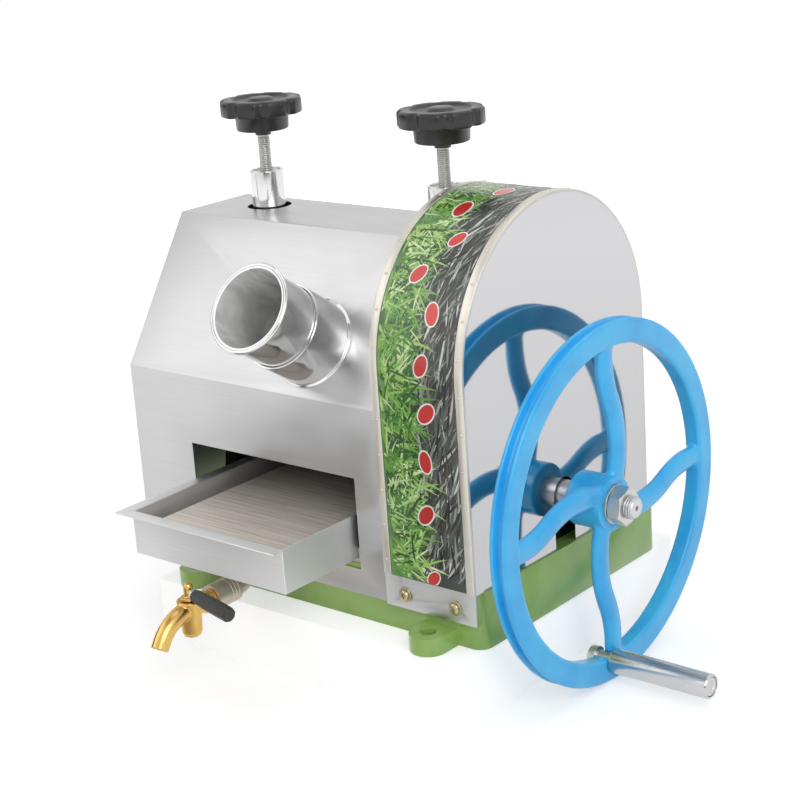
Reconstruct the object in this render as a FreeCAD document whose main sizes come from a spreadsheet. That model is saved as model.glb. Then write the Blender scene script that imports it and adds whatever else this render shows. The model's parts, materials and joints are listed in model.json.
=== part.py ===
"""Hand-cranked sugarcane juicer: a cast base, two cast cheeks that carry three geared rollers,
folded steel covers, a feed chute, two pressure screws, a juice tray with a tap, and a hand wheel.

Frame: +X towards the hand wheel, -Y towards the feed chute, +Z up.
The origin is the centre of the four foot bolt holes, on the underside of the base.
"""
import FreeCAD, Part
import math
import os
import Sketcher
from FreeCAD import Placement, Rotation, Vector

SIZES = [
    ("base_length", 364, "cast base, along X"),
    ("base_depth", 270, "cast base, along Y"),
    ("base_height", 52, "cast base, underside to top"),
    ("base_wall", 8, "wall of the hollow casting"),
    ("base_corner", 12, "radius of the upright corners"),
    ("foot_spacing_x", 276, "bolt holes, along X"),
    ("foot_reach", 18, "bolt holes before and behind the base"),
    ("foot_hole", 14, "hole for a 12 mm bolt"),
    ("foot_radius", 17, "round end of a foot lug"),
    ("foot_height", 16, "thickness of a foot lug"),
    ("centre_y", -9, "plane of the hand wheel shaft and of the arch"),
    ("shaft_height", 100, "hand wheel shaft above the underside"),
    ("sheet", 1.5, "stainless sheet of the covers"),
    ("casing_left", -220, "left end of the casing"),
    ("casing_split", 83, "casing meets the arched gear cover"),
    ("cover_right", 180, "outer face of the mirror side panel"),
    ("cover_bottom", 24, "lower edge of the covers in front of the base"),
    ("bend_height", 196.5, "fold between wall and slope"),
    ("outlet_bottom", 206, "window in the rear slope, for pressed cane"),
    ("outlet_top", 254, "window in the rear slope, for pressed cane"),
    ("top_height", 325.5, "flat top of the casing"),
    ("top_front", 42, "front fold of the top from the centre plane"),
    ("top_rear", 47, "rear fold of the top from the centre plane"),
    ("bay_left", -146, "tray bay in the front wall"),
    ("bay_right", 52, "tray bay in the front wall"),
    ("bay_bottom", 47.5, "tray bay in the front wall"),
    ("bay_top", 131.5, "tray bay in the front wall"),
    ("arch_step", 4, "arched gear cover before the front wall of the casing"),
    ("arch_height", 233, "centre of the arch above the underside"),
    ("rail_width", 8, "edge strip of the arch"),
    ("rail_thick", 1.2, "edge strip of the arch"),
    ("band_bottom", 53, "lower end of the strips and of the printed sheet"),
    ("print_thick", 0.5, "printed sheet"),
    ("left_post_x", -158, "left pressure screw"),
    ("right_post_x", 57, "right pressure screw"),
    ("roller_offset", 14, "top roller behind the centre plane"),
    ("cheek_head", 28, "thickness of a cheek around the bearings"),
    ("cheek_web", 14, "thickness of a cheek beside the tray"),
    ("right_web_low", 54, "left face of the right web"),
    ("head_bottom", 104, "lower edge of the thick part of a cheek"),
    ("cheek_top", 300, "top of a cheek"),
    ("window_width", 44, "window for the sliding bearing block"),
    ("window_top", 250, "upper edge of the window"),
    ("block_height", 40, "sliding bearing block"),
    ("roller_radius", 30, "barrel of a roller"),
    ("flutes", 44, "flutes along a roller"),
    ("flute_depth", 1.6, "flutes along a roller"),
    ("roller_spread", 36, "lower rollers before and behind the top one"),
    ("roller_module", 3, "gears that tie the rollers"),
    ("roller_teeth", 21, "gears that tie the rollers"),
    ("roller_gear_width", 14, "gears that tie the rollers"),
    ("journal_radius", 11, "roller journals"),
    ("bush_wall", 3, "bronze bushes"),
    ("running_gap", 0.05, "radial play of a shaft in its bush"),
    ("gap", 0.3, "play between pieces that move past each other"),
    ("drive_module", 2.5, "pinion and drive gear"),
    ("pinion_teeth", 17, "pinion on the hand wheel shaft"),
    ("drive_teeth", 61, "gear on the top roller"),
    ("drive_low", 102, "left face of the drive gear"),
    ("drive_width", 18, "drive gear"),
    ("tooth_play", 0.3, "backlash of pinion and drive gear"),
    ("roller_gear_play", 0.9, "backlash of the roller gears, which lets the top roller lift"),
    ("shaft_radius", 12.5, "hand wheel shaft"),
    ("bracket_low", 138, "left face of the outer bearing bracket"),
    ("bracket_width", 28, "outer bearing bracket"),
    ("slot_radius", 15, "shaft slot in the side panel"),
    ("partition_hole", 18, "holes for the shafts in the inner partition"),
    ("cover_screw_length", 16, "screws of the front plate"),
    ("wheel_radius", 160, "outside of the hand wheel"),
    ("wheel_low", 218, "rear face of the rim"),
    ("wheel_width", 15.5, "rim, along X"),
    ("rim_depth", 22, "rim, radial"),
    ("belt_depth", 7, "groove for a belt in the rim"),
    ("hub_radius", 24, "hub of the hand wheel"),
    ("hub_low", 197, "rear face of the hub"),
    ("hub_high", 232, "front face of the hub"),
    ("hub_bore", 11, "seat of the hub on the shaft"),
    ("spoke_width", 21, "spoke, along the rim"),
    ("spoke_thick", 12, "spoke, along X"),
    ("spoke_bow", 16, "sideways bow of a spoke"),
    ("shaft_end", 254.5, "threaded end of the hand wheel shaft"),
    ("thread_radius", 10, "20 mm thread at the shaft end"),
    ("nut_width", 30, "wheel nut across flats"),
    ("nut_thick", 13, "wheel nut"),
    ("crank_radius", 141.5, "grip from the wheel centre"),
    ("grip_radius", 11, "steel grip tube"),
    ("grip_length", 96, "steel grip tube"),
    ("spindle_radius", 6, "spindle inside the grip"),
    ("chute_x", -8, "centre of the feed chute"),
    ("chute_up", 49, "chute centre up the slope from the fold"),
    ("chute_reach", 91, "mouth of the chute from the slope"),
    ("tube_radius", 37, "outside of the chute tube"),
    ("tube_wall", 1.5, "chute tube"),
    ("collar_wall", 1.8, "chute collar"),
    ("collar_reach", 46, "outer end of the collar from the slope"),
    ("collar_depth", 58, "inner end of the collar behind the slope"),
    ("bead_radius", 2, "rolled bead at the mouth"),
    ("sleeve_radius", 16, "post sleeve"),
    ("sleeve_wall", 3, "post sleeve"),
    ("sleeve_top", 360, "top of the post sleeves"),
    ("screw_radius", 6, "12 mm pressure screw"),
    ("thread_pitch", 1.75, "12 mm thread"),
    ("knob_bottom", 398, "underside of the knob's hub"),
    ("knob_hub_radius", 24.5, "hub of the knob"),
    ("knob_radius", 38.5, "lobed flange of the knob"),
    ("knob_hub_height", 14.5, "hub of the knob"),
    ("knob_flange", 15, "lobed flange of the knob"),
    ("knob_lobes", 8, "lobes of the knob"),
    ("tray_left", -134.5, "left side of the tray"),
    ("tray_right", 47.8, "right side of the tray"),
    ("tray_front", -227, "front of the tray"),
    ("tray_back", 58, "back of the tray"),
    ("tray_bottom", 56.5, "underside of the tray"),
    ("tray_top", 97, "top of the tray's flange"),
    ("tray_flange", 10.5, "flange at the front and left"),
    ("strainer_drop", 12, "strainer plate below the flange"),
    ("drain_gap", 12, "open strip between strainer and left wall"),
    ("bay_back", -134, "front end of the tray's runners"),
    ("tap_x", -66.5, "tap and its pipe"),
    ("tap_y", -232, "stem of the tap"),
    ("tap_z", 20, "pipe and body of the tap"),
    ("elbow_y", -160, "drain in the tray's floor"),
    ("pipe_radius", 9, "elbow and tap inlet"),
    ("lever_length", 59, "end of the tap lever to the right of the stem"),
    ("lever_forward", 9, "end of the tap lever before the stem"),
    ("lever_droop", 5, "end of the tap lever below its root"),
]


class Length:
    """A number with the sheet formula that gives it, so that sizes stay bound to the sheet."""

    def __init__(self, value, text):
        self.value = float(value)
        self.text = text

    def __float__(self):
        return self.value

    def __add__(self, other):
        other = length(other)
        return Length(self.value + other.value, f"({self.text} + {other.text})")

    def __sub__(self, other):
        other = length(other)
        return Length(self.value - other.value, f"({self.text} - {other.text})")

    def __mul__(self, other):
        other = length(other)
        return Length(self.value * other.value, f"({self.text} * {other.text})")

    def __truediv__(self, other):
        other = length(other)
        return Length(self.value / other.value, f"({self.text} / {other.text})")

    def __radd__(self, other):
        return length(other) + self

    def __rsub__(self, other):
        return length(other) - self

    def __rmul__(self, other):
        return length(other) * self

    def __neg__(self):
        return Length(-self.value, f"(-1 * {self.text})")


def length(value):
    return value if isinstance(value, Length) else Length(value, f"({float(value)})")


def root(value):
    return Length(math.sqrt(value.value), f"sqrt({value.text})")


def make_sheet(document):
    sheet = document.addObject("Spreadsheet::Sheet", "Sizes")
    for row, (alias, value, words) in enumerate(SIZES, start=1):
        sheet.set(f"A{row}", words)
        sheet.set(f"B{row}", str(value))
        sheet.setAlias(f"B{row}", alias)
    document.recompute()
    return sheet


class Sizes:
    """Each attribute is the Length of the cell with that alias."""

    def __init__(self, cells):
        self._cells = cells

    def __getattr__(self, alias):
        return Length(self._cells.get(alias), f"Sizes.{alias}")


doc = FreeCAD.newDocument("juicer")
s = Sizes(make_sheet(doc))
nodes = {}

TURN = {"x": Rotation(Vector(0, 1, 0), 90), "y": Rotation(Vector(1, 0, 0), -90), "z": Rotation()}
PLANE = {"x": "YZ_Plane", "y": "XZ_Plane", "z": "XY_Plane"}


def bind(thing, name, value):
    value = length(value)
    thing.setExpression(name, value.text)


def place(thing, x, y, z):
    for letter, value in zip("xyz", (x, y, z)):
        bind(thing, f"Placement.Base.{letter}", value)


def box(name, x, y, z):
    """A block between the low and high values given for each axis."""
    block = doc.addObject("Part::Box", name)
    bind(block, "Length", x[1] - x[0])
    bind(block, "Width", y[1] - y[0])
    bind(block, "Height", z[1] - z[0])
    place(block, x[0], y[0], z[0])
    return block


def rod(name, axis, across, along, radius):
    """A cylinder along an axis: across holds the two other coordinates in X, Y, Z order."""
    low, high = along
    cylinder = doc.addObject("Part::Cylinder", name)
    bind(cylinder, "Radius", radius)
    bind(cylinder, "Height", length(high) - low)
    cylinder.Placement = Placement(Vector(), TURN[axis])
    first, second = across
    spot = {"x": (low, first, second), "y": (first, low, second), "z": (first, second, low)}[axis]
    place(cylinder, *spot)
    return cylinder


def cone(name, axis, across, along, low_radius, high_radius):
    low, high = along
    solid = doc.addObject("Part::Cone", name)
    bind(solid, "Radius1", low_radius)
    bind(solid, "Radius2", high_radius)
    bind(solid, "Height", length(high) - low)
    solid.Placement = Placement(Vector(), TURN[axis])
    first, second = across
    spot = {"x": (low, first, second), "y": (first, low, second), "z": (first, second, low)}[axis]
    place(solid, *spot)
    return solid


def fuse(name, parts):
    joined = doc.addObject("Part::MultiFuse", name)
    joined.Shapes = parts
    joined.Refine = True
    return joined


def cut(name, base, tools):
    tool = tools[0] if len(tools) == 1 else fuse(name + "_tools", tools)
    result = doc.addObject("Part::Cut", name)
    result.Base = base
    result.Tool = tool
    result.Refine = True
    return result


def group(name, parts):
    """Separate solids that share one node."""
    compound = doc.addObject("Part::Compound", name)
    compound.Links = parts
    return compound


def feature(name, shape):
    """A piece whose shape comes from Part's own functions, with sizes read from the sheet."""
    thing = doc.addObject("Part::Feature", name)
    thing.Shape = shape
    return thing


def node(name, thing):
    thing.Label = name
    nodes[name] = thing
    return thing


def draw_polygon(sketch, points):
    """Lines through the points, with each corner held by its two bound distances."""
    corners = [Vector(float(a), float(b), 0) for a, b in points]
    count = len(corners)
    for index in range(count):
        sketch.addGeometry(Part.LineSegment(corners[index], corners[(index + 1) % count]), False)
    for index in range(count):
        sketch.addConstraint(Sketcher.Constraint("Coincident", index, 2, (index + 1) % count, 1))
    for index, (a, b) in enumerate(points):
        for kind, value, axis in (("DistanceX", a, -2), ("DistanceY", b, -1)):
            if isinstance(value, Length):
                pin = sketch.addConstraint(Sketcher.Constraint(kind, -1, 1, index, 1, value.value))
                sketch.setExpression(f"Constraints[{pin}]", value.text)
            elif value == 0:
                sketch.addConstraint(Sketcher.Constraint("PointOnObject", index, 1, axis))
            else:
                sketch.addConstraint(Sketcher.Constraint(kind, -1, 1, index, 1, float(value)))


def new_sketch(body, plane, name):
    sketch = body.newObject("Sketcher::SketchObject", name)
    face = [item for item in body.Origin.OriginFeatures if item.Role == plane][0]
    sketch.AttachmentSupport = [(face, "")]
    sketch.MapMode = "FlatFace"
    return sketch


def prism(name, axis, points, along):
    """A body padded along an axis; the points are the two other coordinates in X, Y, Z order."""
    low, high = length(along[0]), length(along[1])
    body = doc.addObject("PartDesign::Body", name)
    sketch = new_sketch(body, PLANE[axis], name + "_outline")
    draw_polygon(sketch, points)
    pad = body.newObject("PartDesign::Pad", name + "_pad")
    pad.Profile = sketch
    bind(pad, "Length", high - low)
    pad.Reversed = axis == "y"
    body.Tip = pad
    bind(body, f"Placement.Base.{axis}", low)
    return body


def turned(name, axis, across, points):
    """A body turned about an axis; the points are (distance along the axis, radius)."""
    body = doc.addObject("PartDesign::Body", name)
    sketch = new_sketch(body, "XZ_Plane", name + "_profile")
    draw_polygon(sketch, [(radius, along) for along, radius in points])
    spin = body.newObject("PartDesign::Revolution", name + "_turning")
    spin.Profile = sketch
    spin.ReferenceAxis = (sketch, ["V_Axis"])
    spin.Angle = 360
    body.Tip = spin
    body.Placement = Placement(Vector(), TURN[axis])
    first, second = across
    spot = {"x": (0, first, second), "y": (first, 0, second), "z": (first, second, 0)}[axis]
    place(body, *spot)
    return body


# Places that follow from the sizes
cy = s.centre_y
casing_reach = s.base_depth / 2 + cy + s.sheet
arch_radius = casing_reach + s.arch_step
foot_spacing_y = s.base_depth + 2 * s.foot_reach
roller_y = cy + s.roller_offset
pair_distance = s.roller_module * s.roller_teeth
drive_distance = s.drive_module * (s.pinion_teeth + s.drive_teeth) / 2
top_z = s.shaft_height + root(drive_distance * drive_distance - s.roller_offset * s.roller_offset)
low_z = top_z - root(pair_distance * pair_distance - s.roller_spread * s.roller_spread)
front_y = roller_y - s.roller_spread
rear_y = roller_y + s.roller_spread
head_half = s.cheek_head / 2
left_head = (s.left_post_x - head_half, s.left_post_x + head_half)
right_head = (s.right_post_x - head_half, s.right_post_x + head_half)
left_web = (s.left_post_x - s.cheek_web / 2, s.left_post_x + s.cheek_web / 2)
right_web = (s.right_web_low, s.right_web_low + s.cheek_web)
bush_radius = s.journal_radius + s.running_gap + s.bush_wall
shaft_bush_radius = s.shaft_radius + s.running_gap + s.bush_wall
block_low = top_z - s.block_height / 2
block_high = top_z + s.block_height / 2
slope_rise = s.top_height - s.bend_height
slope_run = casing_reach - s.top_front
slope_length = root(slope_rise * slope_rise + slope_run * slope_run)
outlet_left = left_head[1] + 21
outlet_right = right_head[0] - 19
outlet_sill_y = cy + casing_reach - ((s.outlet_bottom - s.bend_height) * (casing_reach - s.top_rear)
                                       / slope_rise)
chute_base_y = cy - casing_reach + s.chute_up * slope_run / slope_length
chute_base_z = s.bend_height + s.chute_up * slope_rise / slope_length


def mirrored_feet(name, along, radius):
    spots = [(-1, -1), (1, -1), (1, 1), (-1, 1)]
    return [rod(f"{name}_{number}", "z",
                (s.foot_spacing_x / 2 * x, foot_spacing_y / 2 * y), along, radius)
            for number, (x, y) in enumerate(spots)]


def make_base():
    half_x, half_y = s.base_length / 2, s.base_depth / 2
    block = box("base_block", (-half_x, half_x), (-half_y, half_y), (0, s.base_height))
    rounded = doc.addObject("Part::Fillet", "base_rounded")
    rounded.Base = block
    doc.recompute()
    upright = [number for number, edge in enumerate(block.Shape.Edges, start=1)
               if abs(edge.Vertexes[0].Z - edge.Vertexes[-1].Z) > s.base_height.value / 2]
    rounded.Edges = [(number, s.base_corner.value, s.base_corner.value) for number in upright]
    hollow = box("base_hollow", (s.base_wall - half_x, half_x - s.base_wall),
                 (s.base_wall - half_y, half_y - s.base_wall), (-1, s.base_height - s.base_wall))
    lugs = mirrored_feet("lug_end", (0, s.foot_height), s.foot_radius)
    for number, side in enumerate((-1, 1)):
        for turn, reach in enumerate((-1, 1)):
            x = s.foot_spacing_x / 2 * side
            edge, hole = half_y * reach, foot_spacing_y / 2 * reach
            inner = edge - s.base_wall / 2 * reach
            span = (hole, inner) if reach < 0 else (inner, hole)
            lugs.append(box(f"lug_web_{number}{turn}", (x - s.foot_radius, x + s.foot_radius), span,
                            (0, s.foot_height)))
    pad_front = cy - arch_radius + s.sheet
    pads = [box("cover_pad", (s.casing_split + s.sheet, s.cover_right - s.sheet),
                (pad_front, s.base_wall / 2 - half_y), (s.cover_bottom, s.base_height))]
    ribs = [box("left_rib", left_web, (s.base_wall / 2 - half_y, half_y - s.base_wall / 2),
                (s.base_height / 2, s.base_height - s.base_wall / 2)),
            box("right_rib", right_web, (s.base_wall / 2 - half_y, half_y - s.base_wall / 2),
                (s.base_height / 2, s.base_height - s.base_wall / 2))]
    shell = cut("base_shell", rounded, [hollow])
    whole = fuse("base_whole", [shell] + lugs + pads + ribs)
    screw_holes = [rod(f"cover_tap_{n}", "y", (x, cover_screw_z()), (pad_front - 1, pad_front + s.cover_screw_length + 2), 3)
                   for n, x in enumerate(cover_screw_x())]
    holes = mirrored_feet("foot_bolt_hole", (-1, s.foot_height + 1), s.foot_hole / 2)
    return node("base_casting", cut("base_casting", whole, holes + screw_holes))


def cover_screw_x():
    middle = (s.casing_split + s.cover_right) / 2
    return [middle - 27, middle + 27]


def cover_screw_z():
    return (s.cover_bottom + s.base_height) / 2 - 1


def make_cheek(side, head, web, bores):
    """A cheek: a thin web on the base and a thick head that carries the rollers."""
    outline = [(cy - 75, s.base_height), (cy + 100, s.base_height), (cy + 92, s.head_bottom),
               (cy - 68, s.head_bottom)]
    web_body = prism(side + "_web", "x", outline, web)
    upper = [(cy - 68, s.head_bottom), (cy + 92, s.head_bottom), (cy + 88, low_z + 55),
             (roller_y + 40, s.cheek_top), (roller_y - 40, s.cheek_top), (cy - 62, low_z + 55)]
    head_body = prism(side + "_head", "x", upper, head)
    casting = fuse(side + "_casting", [web_body, head_body])
    window = box(side + "_window", (head[0] - 1, head[1] + 1),
                 (roller_y - s.window_width / 2, roller_y + s.window_width / 2),
                 (block_low, s.window_top))
    x = (head[0] + head[1]) / 2
    screw_bore = rod(side + "_screw_bore", "z", (x, roller_y), (s.window_top - 1, s.cheek_top + 1),
                     s.screw_radius + s.running_gap)
    through = (head[0] - 1, head[1] + 1)
    journals = [rod(f"{side}_bush_seat_{n}", "x", (y, low_z), through, bush_radius)
                for n, y in enumerate((front_y, rear_y))]
    ties = [rod(f"{side}_tie_hole_{n}", "x", spot, through, 6) for n, spot in enumerate(tie_spots())]
    return node(side + "_cheek", cut(side + "_cheek", casting,
                                     [window, screw_bore] + journals + ties + bores))


def tie_spots():
    return [(cy - 56, s.head_bottom + 9), (cy + 82, s.head_bottom + 9)]


def make_cheeks():
    make_cheek("left", left_head, left_web, [])
    shaft_seat = rod("shaft_bush_seat", "x", (cy, s.shaft_height), (right_web[0] - 1, right_head[1] + 1),
                     shaft_bush_radius)
    make_cheek("right", right_head, right_web, [shaft_seat])
    rods = []
    for number, spot in enumerate(tie_spots()):
        shank = rod(f"tie_shank_{number}", "x", spot, (left_head[0] - 10, right_head[1] + 10), 6)
        shoulder = rod(f"tie_shoulder_{number}", "x", spot, (left_head[1], right_head[0]), 9)
        nuts = [rod(f"tie_nut_{number}_{end}", "x", spot, span, 9.5)
                for end, span in enumerate(((left_head[0] - 8, left_head[0]),
                                            (right_head[1], right_head[1] + 8)))]
        rods.append(fuse(f"tie_rod_{number}", [shank, shoulder] + nuts))
    node("tie_rods", group("tie_rods", rods))
    bushes = []
    for side, head in (("left", left_head), ("right", right_head)):
        for place_name, y in (("front", front_y), ("rear", rear_y)):
            outer = rod(f"{side}_{place_name}_bush_outer", "x", (y, low_z), head, bush_radius)
            inner = rod(f"{side}_{place_name}_bush_inner", "x", (y, low_z), (head[0] - 1, head[1] + 1),
                        s.journal_radius + s.running_gap)
            bushes.append(cut(f"{side}_{place_name}_bush", outer, [inner]))
    node("roller_bushes", group("roller_bushes", bushes))


def involute(radius, base):
    reach = max(radius / base, 1.0)
    return math.sqrt(reach * reach - 1) - math.acos(1 / reach)


def gear_face(teeth, module, phase, play):
    """An involute gear outline at the origin, drawn in X and Y, with a tooth centred at phase."""
    pitch = module * teeth / 2
    base = pitch * math.cos(math.radians(20))
    tip, bottom = pitch + module, pitch - 1.25 * module
    half_tooth = math.pi / (2 * teeth) - play.value / (4 * pitch)
    start = max(base, bottom)
    steps = 5
    radii = [start + (tip - start) * step / steps for step in range(steps + 1)]

    def at(radius, angle):
        return Vector(radius * math.cos(angle), radius * math.sin(angle), 0)

    def flank(radius):
        return half_tooth + involute(pitch, base) - involute(radius, base)

    edges = []
    for tooth in range(teeth):
        middle = phase + 2 * math.pi * tooth / teeth
        following = middle + 2 * math.pi / teeth
        rising = [at(r, middle - flank(r)) for r in radii]
        falling = [at(r, middle + flank(r)) for r in reversed(radii)]
        rise, fall = Part.BSplineCurve(), Part.BSplineCurve()
        rise.interpolate(rising)
        fall.interpolate(falling)
        root_in = at(bottom, middle - flank(start))
        root_out = at(bottom, middle + flank(start))
        root_next = at(bottom, following - flank(start))
        if start > bottom:
            edges.append(Part.LineSegment(root_in, rising[0]).toShape())
        edges.append(rise.toShape())
        edges.append(Part.Arc(rising[-1], at(tip, middle), falling[0]).toShape())
        edges.append(fall.toShape())
        if start > bottom:
            edges.append(Part.LineSegment(falling[-1], root_out).toShape())
        edges.append(Part.Arc(root_out, at(bottom, (middle + following) / 2), root_next).toShape())
    return Part.Face(Part.Wire(edges))


def make_gear(name, teeth, module, phase, bore, spot, along, play):
    """A spur gear about an X axis: phase is measured from +Y towards +Z."""
    low, high = float(along[0]), float(along[1])
    solid = gear_face(int(teeth.value), module.value, phase, play).extrude(Vector(0, 0, high - low))
    solid = solid.cut(Part.makeCylinder(float(bore), high - low))
    turn = Rotation(Vector(0, 1, 0), Vector(0, 0, 1), Vector(1, 0, 0), "ZXY")
    gear = feature(name, solid)
    gear.Placement = Placement(Vector(low, float(spot[0]), float(spot[1])), turn)
    return node(name, gear)


def meshed_phase(phase, teeth, other_teeth, here, there):
    """The phase of a second gear in mesh with the first."""
    line = math.atan2(float(there[1]) - float(here[1]), float(there[0]) - float(here[0]))
    return line + math.pi + math.pi / other_teeth - (phase - line) * teeth / other_teeth


def make_roller(name, spot, left_stub, right_stub):
    """A barrel with flutes along it and a journal at each end."""
    low, high = float(left_head[1]) + s.gap.value, float(right_head[0]) - s.gap.value
    journal, barrel = s.journal_radius.value, s.roller_radius.value
    count, depth = int(s.flutes.value), s.flute_depth.value
    step = 2 * math.pi / count
    corners = []
    for number in range(count):
        for share, radius in ((-0.2, barrel), (0.2, barrel), (0.5, barrel - depth)):
            angle = (number + share) * step
            corners.append(Vector(low, radius * math.cos(angle), radius * math.sin(angle)))
    fluted = Part.Face(Part.makePolygon(corners + corners[:1])).extrude(Vector(high - low, 0, 0))
    stub = Part.makeCylinder(journal, float(right_stub - left_stub), Vector(float(left_stub), 0, 0),
                             Vector(1, 0, 0))
    roller = feature(name, fluted.fuse(stub))
    roller.Placement = Placement(Vector(0, float(spot[0]), float(spot[1])), Rotation())
    return node(name, roller)


def make_rollers():
    gear_high = left_head[0] - 3
    gear_span = (gear_high - s.roller_gear_width, gear_high)
    stub = gear_span[0] - 3
    top, front, rear = (roller_y, top_z), (front_y, low_z), (rear_y, low_z)
    drive_span = (s.drive_low, s.drive_low + s.drive_width)
    make_roller("top_roller", top, stub, drive_span[1] + 4)
    make_roller("front_roller", front, stub, right_head[1] + 4)
    make_roller("rear_roller", rear, stub, right_head[1] + 4)
    teeth = int(s.roller_teeth.value)
    start = math.pi / 2
    play = s.roller_gear_play
    make_gear("top_roller_gear", s.roller_teeth, s.roller_module, start, s.journal_radius, top, gear_span, play)
    for name, spot in (("front_roller_gear", front), ("rear_roller_gear", rear)):
        phase = meshed_phase(start, teeth, teeth, top, spot)
        make_gear(name, s.roller_teeth, s.roller_module, phase, s.journal_radius, spot, gear_span, play)
    make_gear("drive_gear", s.drive_teeth, s.drive_module, start, s.journal_radius, top, drive_span,
              s.tooth_play)
    pinion = (cy, s.shaft_height)
    phase = meshed_phase(start, int(s.drive_teeth.value), int(s.pinion_teeth.value), top, pinion)
    make_gear("drive_pinion", s.pinion_teeth, s.drive_module, phase, s.shaft_radius, pinion,
              (drive_span[0] - 2, drive_span[1] + 2), s.tooth_play)


def make_blocks():
    """Bearing blocks of the top roller, which slide in the windows of the cheeks."""
    for side, head in (("left", left_head), ("right", right_head)):
        half = s.window_width / 2 - s.gap
        block = box(side + "_block", head, (roller_y - half, roller_y + half), (block_low, block_high))
        bore = rod(side + "_block_bore", "x", (roller_y, top_z), (head[0] - 1, head[1] + 1),
                   s.journal_radius + s.running_gap)
        node(side + "_bearing_block", cut(side + "_bearing_block", block, [bore]))


def make_press(side, x):
    """Pressure screw over one bearing block: disc springs, seat, screw, nut, sleeve and knob."""
    spot = (x, roller_y)
    stack, turns, rim, hole, plate = 15, 5, 13.5, 6.5, 1.2
    points = []
    rise = (stack - plate) / turns
    for step in range(turns + 1):
        radius = rim if step % 2 == 0 else hole + 2
        points.append((block_high + rise * step, radius))
    inner = [(along + plate, radius - 2) for along, radius in reversed(points)]
    outer = [(along, radius) for along, radius in points]
    node(side + "_disc_springs", turned(side + "_disc_springs", "z", spot, outer + inner))
    seat_low = block_high + stack
    seat = turned(side + "_seat", "z", spot,
                  [(seat_low, 0), (seat_low, rim), (seat_low + 7, rim), (seat_low + 7, s.screw_radius + 0.1),
                   (seat_low + 3, s.screw_radius + 0.1), (seat_low + 3, 0)])
    node(side + "_spring_seat", seat)
    knob_top = s.knob_bottom + s.knob_hub_height
    screw_radius = s.screw_radius
    end = seat_low + 3
    profile = [(end, 0), (end, screw_radius - 1), (end + 1, screw_radius)]
    low, high = s.sleeve_top - 12, s.knob_bottom - 8
    pitch = s.thread_pitch
    count = 16
    for number in range(count):
        level = high - pitch * (count - number)
        profile += [(level, screw_radius), (level + pitch / 2, screw_radius - 0.7)]
    profile += [(high, screw_radius), (knob_top - 1, screw_radius), (knob_top - 1, 0)]
    node(side + "_pressure_screw", turned(side + "_pressure_screw", "z", spot, profile))
    sleeve = turned(side + "_sleeve", "z", spot,
                    [(s.cheek_top, s.sleeve_radius - s.sleeve_wall), (s.cheek_top, s.sleeve_radius),
                     (s.sleeve_top - 0.6, s.sleeve_radius), (s.sleeve_top, s.sleeve_radius - 0.6),
                     (s.sleeve_top, s.sleeve_radius - s.sleeve_wall)])
    node(side + "_sleeve", sleeve)
    nut_high = s.sleeve_top - 2
    nut = turned(side + "_screw_nut", "z", spot,
                 [(nut_high - 14, s.screw_radius + s.running_gap), (nut_high - 14, s.sleeve_radius - s.sleeve_wall),
                  (nut_high, s.sleeve_radius - s.sleeve_wall), (nut_high, s.screw_radius + s.running_gap)])
    node(side + "_screw_nut", nut)
    make_knob(side, x)


def make_knob(side, x):
    """Lobed bakelite knob: hub with a small boss below, a dished top with a raised centre."""
    hub_low, flange_low = s.knob_bottom, s.knob_bottom + s.knob_hub_height
    top = flange_low + s.knob_flange
    bore = s.screw_radius
    knob_top = flange_low - 1
    body = turned(side + "_knob_body", "z", (x, roller_y), [
        (hub_low - 5, bore), (hub_low - 5, bore + 1.5), (hub_low, bore + 1.5),
        (hub_low, s.knob_hub_radius - 1), (hub_low + 1, s.knob_hub_radius),
        (flange_low, s.knob_hub_radius + 0.8), (flange_low, s.knob_radius - 1),
        (flange_low + 1, s.knob_radius), (top - 2, s.knob_radius), (top, s.knob_radius - 3),
        (top, s.knob_radius - 8), (top - 2.5, s.knob_radius - 12), (top - 2.5, 14), (top + 0.5, 9),
        (top + 0.5, 0), (knob_top, 0), (knob_top, bore)])
    count = int(s.knob_lobes.value)
    notch, depth = 8, 3.2
    tools = []
    for number in range(count):
        angle = 2 * math.pi * number / count
        reach = s.knob_radius + notch - depth
        tools.append(rod(f"{side}_knob_notch_{number}", "z",
                         (x + reach * math.cos(angle), roller_y + reach * math.sin(angle)),
                         (flange_low - 1, top + 1), notch))
    node(side + "_knob", cut(side + "_knob", body, tools))


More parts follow.
